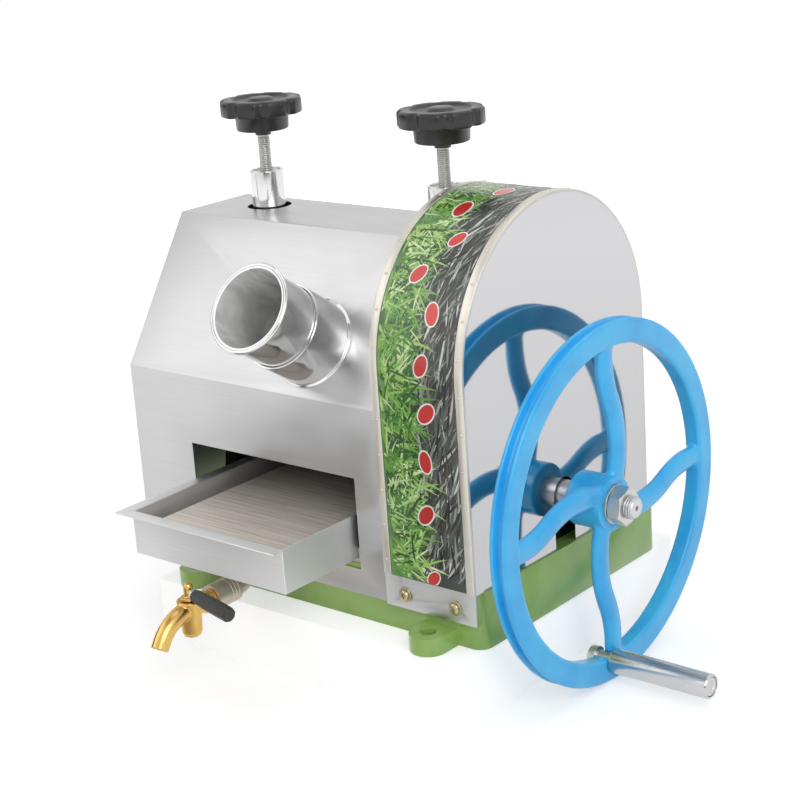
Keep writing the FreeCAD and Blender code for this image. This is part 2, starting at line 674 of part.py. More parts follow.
def make_drive():
    """Hand wheel shaft with its bushes and the outer bearing bracket."""
    axis = (cy, s.shaft_height)
    thread = s.thread_radius
    profile = [(right_web[0], 0), (right_web[0], s.shaft_radius), (s.hub_low, s.shaft_radius),
               (s.hub_low, s.hub_bore), (s.hub_high - 2, s.hub_bore), (s.hub_high - 2, thread)]
    pitch, count = 2.5, 4
    thread_low = s.shaft_end - 2 - pitch * count
    for number in range(count):
        x = thread_low + pitch * number
        profile += [(x, thread), (x + pitch / 2, thread - 1.2)]
    profile += [(s.shaft_end - 2, thread), (s.shaft_end, thread - 1.5), (s.shaft_end, 2),
                (s.shaft_end - 4, 2), (s.shaft_end - 5, 0)]
    node("drive_shaft", turned("drive_shaft", "x", axis, profile))
    bracket = (s.bracket_low, s.bracket_low + s.bracket_width)
    foot = box("bracket_foot", bracket, (cy - 48, cy + 48), (s.base_height, s.base_height + 10))
    post = prism("bracket_post", "x", [(cy - 30, s.base_height), (cy + 30, s.base_height),
                                       (cy + 22, s.shaft_height), (cy - 22, s.shaft_height)],
                 (bracket[0] + 4, bracket[1] - 4))
    boss = rod("bracket_boss", "x", axis, bracket, 22)
    bore = rod("bracket_bore", "x", axis, (bracket[0] - 1, bracket[1] + 1), shaft_bush_radius)
    bolt_holes = [rod(f"bracket_bolt_hole_{n}", "z", ((bracket[0] + bracket[1]) / 2, cy + y),
                      (s.base_height - 1, s.base_height + 11), 4) for n, y in enumerate((-39, 39))]
    casting = fuse("bracket_casting", [foot, post, boss])
    node("bearing_bracket", cut("bearing_bracket", casting, [bore] + bolt_holes))
    bolts = []
    for number, y in enumerate((-39, 39)):
        spot = ((bracket[0] + bracket[1]) / 2, cy + y)
        shank = rod(f"bracket_shank_{number}", "z", spot, (s.base_height, s.base_height + 10), 4)
        head = rod(f"bracket_head_{number}", "z", spot, (s.base_height + 10, s.base_height + 16), 7)
        bolts.append(fuse(f"bracket_bolt_{number}", [shank, head]))
    node("bracket_bolts", group("bracket_bolts", bolts))
    bushes = []
    for name, span in (("inner", (right_web[0], right_head[1] - 3)), ("outer", bracket)):
        tube = rod(name + "_shaft_bush_tube", "x", axis, span, shaft_bush_radius)
        hole = rod(name + "_shaft_bush_hole", "x", axis, (span[0] - 1, span[1] + 1),
                   s.shaft_radius + s.running_gap)
        bushes.append(cut(name + "_shaft_bush", tube, [hole]))
    node("shaft_bushes", group("shaft_bushes", bushes))


def make_wheel():
    """Cast hand wheel: grooved rim, hub and four bowed spokes."""
    low, width = s.wheel_low.value, s.wheel_width.value
    outer, inner = s.wheel_radius.value, s.wheel_radius.value - s.rim_depth.value
    middle, depth = low + width / 2, s.belt_depth.value
    edge = 1.5
    rim_points = [(low + edge, inner), (low, inner + edge), (low, outer - edge), (low + edge, outer),
                  (middle - 4.5, outer), (middle - 2, outer - depth), (middle + 2, outer - depth),
                  (middle + 4.5, outer), (low + width - edge, outer), (low + width, outer - edge),
                  (low + width, inner + edge), (low + width - edge, inner)]
    corners = [Vector(x, radius, 0) for x, radius in rim_points]
    rim = Part.Face(Part.makePolygon(corners + corners[:1])).revolve(Vector(), Vector(1, 0, 0), 360)
    hub_low, hub_high = s.hub_low.value, s.hub_high.value
    hub = Part.makeCylinder(s.hub_radius.value, hub_high - hub_low, Vector(hub_low, 0, 0), Vector(1, 0, 0))
    spoke = make_spoke(middle)
    whole = rim.fuse([hub] + [turned_about_x(spoke, 90 * number) for number in range(4)])
    bore = Part.makeCylinder(s.hub_bore.value, hub_high - hub_low, Vector(hub_low, 0, 0), Vector(1, 0, 0))
    key_slot = Part.makeBox(hub_high - hub_low, s.hub_bore.value + 2, 6, Vector(hub_low, 0, -3))
    angle = crank_angle()
    spindle_hole = Part.makeCylinder(s.spindle_radius.value, width,
                                     Vector(low, s.crank_radius.value * math.cos(angle),
                                            s.crank_radius.value * math.sin(angle)), Vector(1, 0, 0))
    wheel = feature("hand_wheel", whole.cut([bore, key_slot, spindle_hole]).removeSplitter())
    wheel.Placement = Placement(Vector(0, float(cy), s.shaft_height.value), Rotation())
    node("hand_wheel", wheel)


def turned_about_x(shape, degrees):
    copy = shape.copy()
    copy.rotate(Vector(), Vector(1, 0, 0), degrees)
    return copy


def crank_angle():
    return math.radians(-94.5)


def make_spoke(middle):
    """One spoke along +Z: an elliptic bar along two tangent arcs, bowed towards +Y."""
    bow, join = s.spoke_bow.value, s.wheel_radius.value - s.rim_depth.value - 13
    peak = 50
    total = ((join - peak) ** 2 + bow ** 2) / (2 * bow)
    bowed, straightening = total * 0.52, total * 0.48
    first = Vector(0, bow - bowed, peak)
    second = Vector(0, straightening, join)
    start = Vector(0, first.y + math.sqrt(bowed ** 2 - (peak - 14) ** 2), 14)
    crest = Vector(0, bow, peak)
    touch = first + (second - first).normalize() * bowed
    half = math.atan2(touch.z - second.z, second.y - touch.y) / 2
    between = second + Vector(0, -math.cos(half), math.sin(half)) * straightening
    finish = Vector(0, 0, join)
    outer = Vector(0, 0, s.wheel_radius.value - s.rim_depth.value + 3)
    path = Part.Wire([Part.Arc(start, crest, touch).toShape(), Part.Arc(touch, between, finish).toShape(),
                      Part.LineSegment(finish, outer).toShape()])
    tangent = path.Edges[0].tangentAt(path.Edges[0].FirstParameter)
    section = Part.Ellipse(Vector(), s.spoke_width.value / 2, s.spoke_thick.value / 2)
    ring = Part.Wire([section.toShape()])
    ring.Placement = Placement(start, Rotation(Vector(1, 0, 0).cross(tangent), Vector(-1, 0, 0), tangent, "ZXY"))
    bar = path.makePipeShell([ring], True, False)
    bar.translate(Vector(middle, 0, 0))
    return bar


def make_wheel_fittings():
    axis = (cy, s.shaft_height)
    washer = rod("washer_disc", "x", axis, (s.hub_high, s.hub_high + 2), 17)
    washer_hole = rod("washer_hole", "x", axis, (s.hub_high - 1, s.hub_high + 3), s.thread_radius + 0.2)
    node("wheel_washer", cut("wheel_washer", washer, [washer_hole]))
    nut_low = s.hub_high + 2
    outline = []
    for number in range(6):
        angle = math.radians(60 * number + 20)
        reach = s.nut_width / 2 / math.cos(math.radians(30))
        outline.append((cy + reach * math.cos(angle), s.shaft_height + reach * math.sin(angle)))
    hexagon = prism("nut_hexagon", "x", outline, (nut_low, nut_low + s.nut_thick))
    nut_hole = rod("nut_hole", "x", axis, (nut_low - 1, nut_low + s.nut_thick + 1), s.thread_radius)
    node("wheel_nut", cut("wheel_nut", hexagon, [nut_hole]))
    key = box("wheel_key", (s.hub_low + 2, s.hub_high - 3), (cy + s.hub_bore, cy + s.hub_bore + 2),
              (s.shaft_height - 3, s.shaft_height + 3))
    node("wheel_key", key)
    angle = crank_angle()
    crank = (cy + s.crank_radius * math.cos(angle), s.shaft_height + s.crank_radius * math.sin(angle))
    front = s.wheel_low + s.wheel_width
    tip = front + 1 + s.grip_length
    spindle = turned("crank_spindle", "x", crank, [
        (s.wheel_low - 7, 0), (s.wheel_low - 7, 9), (s.wheel_low, 9), (s.wheel_low, s.spindle_radius),
        (tip - 3.5, s.spindle_radius), (tip - 3.5, 8), (tip - 0.5, 8), (tip - 0.5, 5), (tip - 1.5, 5),
        (tip - 1.5, 0)])
    node("crank_spindle", spindle)
    bore = s.spindle_radius + s.running_gap
    grip = turned("crank_grip", "x", crank, [
        (front + 0.5, bore), (front + 0.5, s.grip_radius - 1), (front + 1.5, s.grip_radius),
        (tip - 1, s.grip_radius), (tip, s.grip_radius - 1), (tip, 8.6), (tip - 4, 8.6), (tip - 4, bore)])
    node("crank_grip", grip)


def casing_section(inset):
    """Closed outline of the casing across X, drawn a given inset inside the outer faces."""
    bottom = s.cover_bottom - 2 * inset
    points = [(cy - casing_reach, bottom), (cy - casing_reach, s.bend_height),
              (cy - s.top_front, s.top_height), (cy + s.top_rear, s.top_height),
              (cy + casing_reach, s.bend_height), (cy + casing_reach, bottom)]
    corners = [Vector(0, float(y), float(z)) for y, z in points]
    face = Part.Face(Part.makePolygon(corners + corners[:1]))
    return face.makeOffset2D(-inset, 2) if inset else face


def chute_axis():
    """Where the chute meets the slope, and the direction in which it points."""
    rise, run = float(slope_rise), float(slope_run)
    out = Vector(0, -rise, run).normalize()
    return Vector(s.chute_x.value, float(chute_base_y), float(chute_base_z)), out


def make_covers():
    sheet = s.sheet.value
    left, split, right = s.casing_left.value, s.casing_split.value, s.cover_right.value
    outer = casing_section(0)
    wrap = outer.cut(casing_section(sheet)).extrude(Vector(split - left, 0, 0))
    wrap.translate(Vector(left, 0, 0))
    base_top, back = s.base_height.value, s.base_depth.value / 2
    below = Part.makeBox(split - left + 2, 2 * back, base_top + 1, Vector(left - 1, -back, -1))
    wrap = wrap.cut(below)
    rear_fold = float(cy + s.top_rear)
    behind = Part.makeBox(split - left + 2, back, s.top_height.value + 2, Vector(left - 1, rear_fold, 0))
    base_point, out = chute_axis()
    collar = s.tube_radius.value + 0.1 + s.collar_wall.value
    chute_hole = Part.makeCylinder(collar + 0.2, 20, base_point - out * 10, out)
    bay = Part.makeBox(float(s.bay_right - s.bay_left), 40, float(s.bay_top - s.bay_bottom),
                       Vector(s.bay_left.value, float(cy - casing_reach) - 20, s.bay_bottom.value))
    posts = [Part.makeCylinder(s.sleeve_radius.value + 5, 20,
                               Vector(x.value, float(roller_y), s.top_height.value - 10))
             for x in (s.left_post_x, s.right_post_x)]
    node("front_casing", feature("front_casing", wrap.cut([behind, chute_hole, bay] + posts)))
    outlet = Part.makeBox(float(outlet_right - outlet_left), float(casing_reach - s.top_rear) + 1,
                          float(s.outlet_top - s.outlet_bottom),
                          Vector(float(outlet_left), rear_fold, s.outlet_bottom.value))
    rear = wrap.common(behind).cut([outlet] + posts)
    node("rear_casing", feature("rear_casing", rear))
    end = casing_section(sheet).extrude(Vector(sheet, 0, 0))
    end.translate(Vector(left, 0, 0))
    low = Part.makeBox(5, 2 * back + 10, s.cover_bottom.value, Vector(left - 1, -back - 5, 0))
    node("left_end_panel", feature("left_end_panel", end.cut(low)))


def arch_solid(name, along, radius, bottom):
    """A round-topped block across X: a half disc on a rectangle."""
    disc = rod(name + "_disc", "x", (cy, s.arch_height), along, radius)
    wall = box(name + "_wall", along, (cy - radius, cy + radius), (bottom, s.arch_height))
    return fuse(name, [disc, wall])


def make_arch():
    inner = arch_radius - s.sheet
    span = (s.casing_split, s.cover_right)
    whole = arch_solid("arch_whole", span, arch_radius, s.cover_bottom)
    hollow = arch_solid("arch_hollow", (span[0] - 1, span[1] + 1), inner, 0)
    seat = box("arch_seat", (span[0] - 1, span[1] + 1), (cy, cy + arch_radius + 1), (0, s.base_height))
    holes = [rod(f"plate_hole_{n}", "y", (x, cover_screw_z()), (cy - arch_radius - 1, cy - inner + 1), 3.2)
             for n, x in enumerate(cover_screw_x())]
    node("arch_band", cut("arch_band", whole, [hollow, seat] + holes))
    plate_inner = inner
    side = arch_solid("side_plate", (span[1] - s.sheet, span[1]), plate_inner, s.base_height)
    slot = arch_slot("side_slot", (span[1] - s.sheet - 1, span[1] + 1))
    node("arch_side_panel", cut("arch_side_panel", side, [slot]))
    partition = arch_solid("partition_plate", (span[0], span[0] + s.sheet), plate_inner, s.base_height)
    openings = [rod("partition_top_hole", "x", (roller_y, top_z), (span[0] - 1, span[0] + 3),
                    s.partition_hole),
                rod("partition_shaft_hole", "x", (cy, s.shaft_height), (span[0] - 1, span[0] + 3),
                    s.partition_hole)]
    node("arch_partition", cut("arch_partition", partition, openings))
    for name, low in (("left_rail", s.casing_split), ("right_rail", s.cover_right - s.rail_width)):
        make_skin(name, (low, low + s.rail_width), s.rail_thick)
    make_skin("printed_band", (s.casing_split + s.rail_width, s.cover_right - s.rail_width), s.print_thick)
    screws = []
    for number, x in enumerate(cover_screw_x()):
        spot = (x, cover_screw_z())
        front = cy - arch_radius
        shank = rod(f"cover_shank_{number}", "y", spot, (front, front + s.cover_screw_length), 2.9)
        washer = rod(f"cover_washer_{number}", "y", spot, (front - 1.2, front), 6.6)
        head = rod(f"cover_head_{number}", "y", spot, (front - 4, front - 1.2), 4.8)
        screws.append(fuse(f"cover_screw_{number}", [shank, washer, head]))
    node("cover_screws", group("cover_screws", screws))


def arch_slot(name, along):
    disc = rod(name + "_disc", "x", (cy, s.shaft_height), along, s.slot_radius)
    legs = box(name + "_legs", along, (cy - s.slot_radius, cy + s.slot_radius),
               (s.base_height - 1, s.shaft_height))
    return fuse(name, [disc, legs])


def make_skin(name, along, thick):
    """A strip laid over the arch, from the front plate to the foot of the rear wall."""
    skin = arch_solid(name + "_outer", along, arch_radius + thick, s.band_bottom)
    core = arch_solid(name + "_core", (along[0] - 1, along[1] + 1), arch_radius, 0)
    node(name, cut(name, skin, [core]))


def along_chute(name, points):
    """A ring turned about the chute's axis: points are (distance from the slope, radius)."""
    corners = [Vector(float(radius), 0, float(along)) for along, radius in points]
    ring = Part.Face(Part.makePolygon(corners + corners[:1])).revolve(Vector(), Vector(0, 0, 1), 360)
    thing = feature(name, ring)
    base_point, out = chute_axis()
    thing.Placement = Placement(base_point, Rotation(Vector(0, 0, 1), out))
    return node(name, thing)


def make_chute():
    collar_in, tube_out = s.tube_radius + 0.1, s.tube_radius
    collar_out = collar_in + s.collar_wall
    along_chute("chute_collar", [(-s.collar_depth, collar_in), (-s.collar_depth, collar_out), (0, collar_out),
                                 (0, collar_out + 2.2), (1.6, collar_out + 1.6), (1.6, collar_out),
                                 (s.collar_reach, collar_out), (s.collar_reach, collar_in)])
    tube_in = tube_out - s.tube_wall
    mouth, bead = s.chute_reach, s.bead_radius
    points = [(s.collar_reach - 18, tube_in), (s.collar_reach - 18, tube_out), (mouth - 2 * bead, tube_out)]
    for step in range(1, 8):
        angle = math.pi * step / 8
        points.append((mouth - bead - bead * math.cos(angle), tube_out + bead + bead * math.sin(angle) * 0.9))
    points += [(mouth, tube_out), (mouth, tube_in)]
    along_chute("chute_tube", points)
    sill = outlet_sill_y
    guide = prism("rear_guide", "x", [(rear_y + 24, low_z + 20.5), (sill - 2.5, s.outlet_bottom),
                                      (sill + 2, s.outlet_bottom), (sill + 23, s.outlet_bottom - 10),
                                      (sill + 23, s.outlet_bottom - 10 + s.sheet),
                                      (sill + 2, s.outlet_bottom + s.sheet),
                                      (sill - 2.5, s.outlet_bottom + s.sheet),
                                      (rear_y + 24, low_z + 20.5 + s.sheet * 1.3)],
                  (outlet_left + s.gap, outlet_right - s.gap))
    node("rear_guide", guide)
    span = (left_head[1], right_head[0])
    plate = prism("trash_plate", "x", [(roller_y - 7, low_z + 15), (roller_y - 3.5, low_z),
                                       (roller_y - 3.5, low_z - 26), (roller_y + 3.5, low_z - 26),
                                       (roller_y + 3.5, low_z), (roller_y + 7, low_z + 15)], span)
    node("trash_plate", plate)


def make_tray():
    wall = s.sheet
    floor = s.tray_bottom
    outer = box("tray_outer", (s.tray_left, s.tray_right), (s.tray_front, s.tray_back), (floor, s.tray_top))
    flange = box("tray_flange_plate", (s.tray_left - s.tray_flange, s.tray_right),
                 (s.tray_front - s.tray_flange, s.tray_back), (s.tray_top - wall, s.tray_top))
    inside = box("tray_inside", (s.tray_left + wall, s.tray_right - wall),
                 (s.tray_front + wall, s.tray_back - wall), (floor + wall, s.tray_top + 1))
    drain = rod("tray_drain", "z", (s.tap_x, s.elbow_y), (floor - 1, floor + wall + 1), s.pipe_radius - 3)
    node("juice_tray", cut("juice_tray", fuse("tray_whole", [outer, flange]), [inside, drain]))
    level = s.tray_top - s.strainer_drop
    plate_x = (s.tray_left + wall + s.drain_gap, s.tray_right - wall)
    plate_y = (s.tray_front + wall, s.tray_back - wall)
    plate = box("strainer_sheet", plate_x, plate_y, (level - 1, level))
    skirt = [box("strainer_left_skirt", (plate_x[0], plate_x[0] + 1), plate_y, (floor + wall, level - 1)),
             box("strainer_right_skirt", (plate_x[1] - 1, plate_x[1]), plate_y, (floor + wall, level - 1))]
    node("strainer_plate", fuse("strainer_plate", [plate] + skirt))
    runner = []
    top, span = floor - s.gap, (s.bay_back, s.tray_back)
    for name, side, sign in (("left", s.tray_left, 1), ("right", s.tray_right, -1)):
        guide = sorted((side - sign * s.gap * 2, side - sign * (s.gap * 2 + 2)), key=float)
        rest = sorted((guide[0], side + sign * 10) if sign > 0 else (side + sign * 10, guide[1]), key=float)
        level_leg = box(f"{name}_runner_leg", rest, span, (s.base_height, top))
        standing = box(f"{name}_runner_wall", guide, span, (s.base_height, top + 10))
        runner.append(fuse(f"{name}_runner", [level_leg, standing]))
    node("tray_runners", group("tray_runners", runner))


def make_tap():
    """Elbow and coupling under the tray, and a cast plug tap with a bent spout."""
    x, z = s.tap_x.value, s.tap_z.value
    pipe, drain_y, stem_y = s.pipe_radius.value, s.elbow_y.value, s.tap_y.value
    floor = s.tray_bottom.value
    ahead, up = Vector(0, -1, 0), Vector(0, 0, 1)
    turn_radius = 14
    upright = Part.makeCylinder(pipe, floor - z - turn_radius, Vector(x, drain_y, z + turn_radius), up)
    flange = Part.makeCylinder(pipe + 5, 4, Vector(x, drain_y, floor - 4), up)
    bend = quarter_bend(Vector(x, drain_y - turn_radius, z + turn_radius), turn_radius, pipe)
    level = Part.makeCylinder(pipe, 4, Vector(x, drain_y - turn_radius, z), ahead)
    elbow = upright.fuse([flange, bend, level])
    bore = Part.makeCylinder(pipe - 3, floor - z - turn_radius, Vector(x, drain_y, z + turn_radius), up)
    bore_bend = quarter_bend(Vector(x, drain_y - turn_radius, z + turn_radius), turn_radius, pipe - 3)
    bore_level = Part.makeCylinder(pipe - 3, 4, Vector(x, drain_y - turn_radius, z), ahead)
    node("drain_elbow", feature("drain_elbow", elbow.cut([bore, bore_bend, bore_level]).removeSplitter()))
    near = drain_y - turn_radius - 4
    far = stem_y + 26
    ring = Part.makeCylinder(pipe + 3, near - far, Vector(x, near, z), ahead)
    for y in (near - 4, near - 8, near - 12):
        groove = Part.makeTorus(pipe + 3.4, 0.9, Vector(x, y, z), ahead)
        ring = ring.cut(groove)
    hole = Part.makeCylinder(pipe - 3, near - far, Vector(x, near, z), ahead)
    node("pipe_coupling", feature("pipe_coupling", ring.cut(hole)))
    stem = 6
    barrel = Part.makeCone(11, 9, 30, Vector(x, stem_y, z + 8), -up)
    collar = Part.makeCylinder(11.5, 3, Vector(x, stem_y, z + 5.5), up)
    inlet = Part.makeCylinder(pipe, 26, Vector(x, stem_y + 26, z), ahead)
    neck = Part.makeCylinder(pipe + 1.5, 3, Vector(x, stem_y + 18, z), ahead)
    spout_turn = 40
    start = Vector(x, stem_y - 3, z)
    spout, spout_bore = bent_spout(start, spout_turn, 8, 5.5)
    body = barrel.fuse([collar, inlet, neck, spout, Part.makeSphere(10.5, Vector(x, stem_y, z))])
    plug_hole = Part.makeCylinder(stem + s.gap.value / 2, 60, Vector(x, stem_y, z - 25), up)
    inlet_bore = Part.makeCylinder(pipe - 3, 26 - stem, Vector(x, stem_y + 26, z), ahead)
    body = body.cut([plug_hole, spout_bore, inlet_bore])
    node("tap_body", feature("tap_body", body.removeSplitter()))
    cap = Part.makeCylinder(8, 2.4, Vector(x, stem_y, z - 24.4), up).fuse(
        Part.makeCylinder(5, 2, Vector(x, stem_y, z - 26.2), up))
    node("tap_cap", feature("tap_cap", cap.removeSplitter()))
    lever_spot = Vector(x, stem_y, z + 15.5)
    reach = Vector(s.lever_length.value, -s.lever_forward.value, -s.lever_droop.value)
    along = Vector(reach).normalize()
    plug = Part.makeCylinder(stem, 30.2, Vector(x, stem_y, z - 21.7), up).fuse(
        [Part.makeCylinder(7.5, 2.7, Vector(x, stem_y, z + 9.1), up),
         Part.makeCylinder(4.4, 12, Vector(x, stem_y, z + 8.5), up),
         Part.makeSphere(4.4, Vector(x, stem_y, z + 20.5))])
    waterway = Part.makeCylinder(4.5, 30, Vector(x - 15, stem_y, z), Vector(1, 0, 0))
    shank = Part.makeCylinder(3, 12, lever_spot, along)
    node("tap_plug", feature("tap_plug", plug.cut(waterway).fuse(shank).removeSplitter()))
    grip = Part.makeCylinder(6, reach.Length - 8, lever_spot + along * 8, along)
    grip = grip.cut(Part.makeCylinder(3, 4, lever_spot + along * 8, along))
    node("tap_lever", feature("tap_lever", grip))


def quarter_bend(corner_end, turn_radius, radius):
    """A quarter torus that turns from straight down to straight ahead (-Y)."""
    ring = Part.makeTorus(turn_radius, radius, corner_end, Vector(1, 0, 0))
    keep = Part.makeBox(2 * radius + 2, turn_radius + radius + 1, turn_radius + radius + 1,
                        corner_end + Vector(-radius - 1, 0, -turn_radius - radius - 1))
    return ring.common(keep)


def bent_spout(start, turn_radius, radius, bore):
    """A spout that leaves along -Y and bends down, made of one arc and a short straight end."""
    bend = math.radians(58)
    centre = start + Vector(0, 0, -turn_radius)
    parts = []
    for size in (radius, bore):
        middle = centre + Vector(0, -math.sin(bend / 2), math.cos(bend / 2)) * turn_radius
        last = centre + Vector(0, -math.sin(bend), math.cos(bend)) * turn_radius
        out = Vector(0, -math.cos(bend), -math.sin(bend))
        path = Part.Wire([Part.Arc(start, middle, last).toShape()])
        ring = Part.Wire([Part.Circle(start, Vector(0, -1, 0), size).toShape()])
        tube = path.makePipeShell([ring], True, False)
        tip = Part.makeCylinder(size, 6, last, out)
        parts.append(tube.fuse(tip))
    return parts


make_base()
make_cheeks()
make_rollers()
make_blocks()
make_press("left", s.left_post_x)
make_press("right", s.right_post_x)
make_drive()
make_wheel()
make_wheel_fittings()
make_covers()
make_arch()
make_chute()
make_tray()
make_tap()
doc.recompute()

for thing in doc.Objects:
    if "Invalid" in thing.State or "Error" in thing.State:
        raise RuntimeError(f"{thing.Label} did not build: {thing.State}")
for name, thing in nodes.items():
    if thing.Shape.isNull() or not thing.Shape.isValid() or not thing.Shape.Solids:
        raise RuntimeError(f"{name} is not a valid solid")

os.makedirs("parts", exist_ok=True)
for name, thing in nodes.items():
    thing.Shape.exportStep(f"parts/{name}.step")
print(len(nodes), "nodes,", sum(len(thing.Shape.Solids) for thing in nodes.values()), "solids")
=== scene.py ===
"""Looks of a hand-cranked sugarcane juicer, laid out as an add-on and run as a script.

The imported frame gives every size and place. Each operator makes one piece or one group of like
pieces, and the stage operator makes the floor, the lights and the camera.
"""

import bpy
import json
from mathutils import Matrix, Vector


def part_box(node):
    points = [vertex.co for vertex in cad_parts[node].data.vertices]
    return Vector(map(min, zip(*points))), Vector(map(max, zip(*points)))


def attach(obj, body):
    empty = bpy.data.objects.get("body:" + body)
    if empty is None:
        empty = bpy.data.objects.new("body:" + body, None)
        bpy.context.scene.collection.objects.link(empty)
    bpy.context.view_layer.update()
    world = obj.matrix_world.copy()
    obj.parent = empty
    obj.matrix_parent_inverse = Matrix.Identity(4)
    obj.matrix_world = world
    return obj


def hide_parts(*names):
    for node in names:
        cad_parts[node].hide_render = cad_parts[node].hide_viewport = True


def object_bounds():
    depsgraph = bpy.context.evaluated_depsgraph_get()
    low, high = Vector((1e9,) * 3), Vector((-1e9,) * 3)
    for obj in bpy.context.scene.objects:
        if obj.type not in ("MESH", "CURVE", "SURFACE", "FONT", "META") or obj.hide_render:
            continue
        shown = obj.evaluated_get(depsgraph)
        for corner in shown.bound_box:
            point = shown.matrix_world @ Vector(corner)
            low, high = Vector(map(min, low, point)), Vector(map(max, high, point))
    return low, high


bl_info = {
    "name": "Sugarcane juicer looks",
    "version": (1, 0, 0),
    "blender": (4, 5, 0),
    "location": "View3D > Sidebar > Juicer",
    "description": "Dresses the packed juicer with enamel, stainless steel, print, brass and bakelite",
    "category": "Object",
}

import json
import math

import bmesh
import bpy
from bpy.props import FloatProperty, FloatVectorProperty, IntProperty, PointerProperty
from mathutils import Matrix, Vector

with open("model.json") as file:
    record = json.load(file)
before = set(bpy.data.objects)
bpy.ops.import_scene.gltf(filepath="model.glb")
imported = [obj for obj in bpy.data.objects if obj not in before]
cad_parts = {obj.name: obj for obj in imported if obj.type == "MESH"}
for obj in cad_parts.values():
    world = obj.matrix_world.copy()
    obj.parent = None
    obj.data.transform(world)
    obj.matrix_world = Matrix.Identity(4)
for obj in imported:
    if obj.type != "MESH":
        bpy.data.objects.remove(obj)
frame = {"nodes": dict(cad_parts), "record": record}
cad_low, cad_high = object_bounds()
MM = 0.001

shaft_low, shaft_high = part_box("drive_shaft")
SHAFT_Y = (shaft_low.y + shaft_high.y) / 2
SHAFT_Z = (shaft_low.z + shaft_high.z) / 2
band_low, band_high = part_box("printed_band")
BAND_RADIUS = (band_high.y - band_low.y) / 2
ARCH_Z = band_high.z - BAND_RADIUS
CHUTE = next(mount for mount in frame["record"]["mounts"] if mount["name"] == "feed_chute")
# Faces across the hand wheel's shaft, in millimetres along X
HUB_FACE, WASHER_FACE, NUT_FACE = 232, 234, 247


def hex_linear(text):
    """An sRGB hex colour as linear red, green, blue and alpha."""
    channels = [int(text[start:start + 2], 16) / 255 for start in (1, 3, 5)]
    linear = [c / 12.92 if c <= 0.04045 else ((c + 0.055) / 1.055) ** 2.4 for c in channels]
    return (*linear, 1.0)


def colour(name, text, words):
    return FloatVectorProperty(name=name, description=words, subtype="COLOR", size=4, min=0, max=1,
                               default=hex_linear(text))


def distance(name, size, words):
    return FloatProperty(name=name, description=words, subtype="DISTANCE", unit="LENGTH", min=0,
                         default=size)


class CastingSettings(bpy.types.PropertyGroup):
    green: colour("Green enamel", "#8DB356", "Enamel on the cast base")
    blue: colour("Blue enamel", "#2CB2F3", "Enamel on the hand wheel")
    base_edge: distance("Base edge", 2.0 * MM, "Rounding of the outer edges of the base")
    base_fillet: distance("Base fillet", 5.0 * MM, "Rounding where a lug meets the base")
    wheel_grain: distance("Wheel grain", 1.35 * MM, "Mesh size of the wheel, which rounds its corners")


class SheetSettings(bpy.types.PropertyGroup):
    steel: colour("Stainless sheet", "#C9C9C9", "Satin covers and tray")
    fold: distance("Fold", 2.2 * MM, "Outer rounding of a fold in the sheet")
    cut_edge: distance("Cut edge", 0.25 * MM, "Rounding of a cut edge of the sheet")
    rivet_pitch: distance("Rivet pitch", 30 * MM, "Distance between the rivets of the edge strips")
    rivet_radius: distance("Rivet radius", 1.3 * MM, "Radius of a rivet's head")


class PrintSettings(bpy.types.PropertyGroup):
    leaf_length: distance("Leaf length", 30 * MM, "Longest leaf of the green side")
    leaf_gap: distance("Leaf gap", 3.4 * MM, "Least distance between the roots of two leaves")
    reed_length: distance("Reed length", 34 * MM, "Longest reed of the dark side")
    reed_gap: distance("Reed gap", 3.6 * MM, "Least distance between the roots of two reeds")
    berry_length: distance("Berry length", 25 * MM, "Longest berry with its white rim")
    berry_gap: distance("Berry gap", 40 * MM, "Least distance between two berries")
    seed: IntProperty(name="Seed", description="Seed of the plant pattern", default=7)


class FittingSettings(bpy.types.PropertyGroup):
    press_pitch: distance("Press pitch", 1.75 * MM, "Pitch of the pressure screws")
    shaft_pitch: distance("Shaft pitch", 2.5 * MM, "Pitch of the thread at the shaft's end")
    brass: colour("Brass", "#DDB668", "Tumbled cast brass")


class StageSettings(bpy.types.PropertyGroup):
    backdrop: colour("Backdrop", "#FFFFFF", "Colour of the floor and of the background")
    lens: FloatProperty(name="Lens", description="Focal length of the camera", unit="CAMERA",
                        default=82.74)


def wire(node, inputs):
    """Gives each input a value, or a link from a socket or from another node's first live output."""
    for key, value in inputs.items():
        if isinstance(value, bpy.types.Node):
            value = next(socket for socket in value.outputs if socket.enabled)
        if isinstance(value, bpy.types.NodeSocket):
            node.id_data.links.new(value, node.inputs[key])
        else:
            node.inputs[key].default_value = value
    return node


def add_node(tree, kind, settings=None, inputs=None):
    """Adds a node, sets its properties and colour stops, and wires its inputs."""
    node = tree.nodes.new(kind)
    for key, value in (settings or {}).items():
        if key != "stops":
            setattr(node, key, value)
            continue
        elements = node.color_ramp.elements
        elements[0].position, elements[1].position = value[0][0], value[-1][0]
        elements[0].color, elements[1].color = hex_linear(value[0][1]), hex_linear(value[-1][1])
        for position, tone in value[1:-1]:
            elements.new(position).color = hex_linear(tone)
    return wire(node, inputs or {})


def new_material(name, shader_inputs):
    """A material's tree, its shader and the piece's own coordinates."""
    material = bpy.data.materials.new(name)
    material.use_nodes = True
    tree = material.node_tree
    shader = wire(tree.nodes["Principled BSDF"], shader_inputs)
    return tree, shader, add_node(tree, "ShaderNodeTexCoord").outputs["Object"]


def tone_of(text):
    """A hex colour as linear values, or the colour of that name in the settings."""
    if text.startswith("#"):
        return hex_linear(text)
    scene = bpy.context.scene
    groups = scene.juicer_castings, scene.juicer_sheets, scene.juicer_fittings
    return next(tuple(getattr(group, text)) for group in groups if hasattr(group, text))


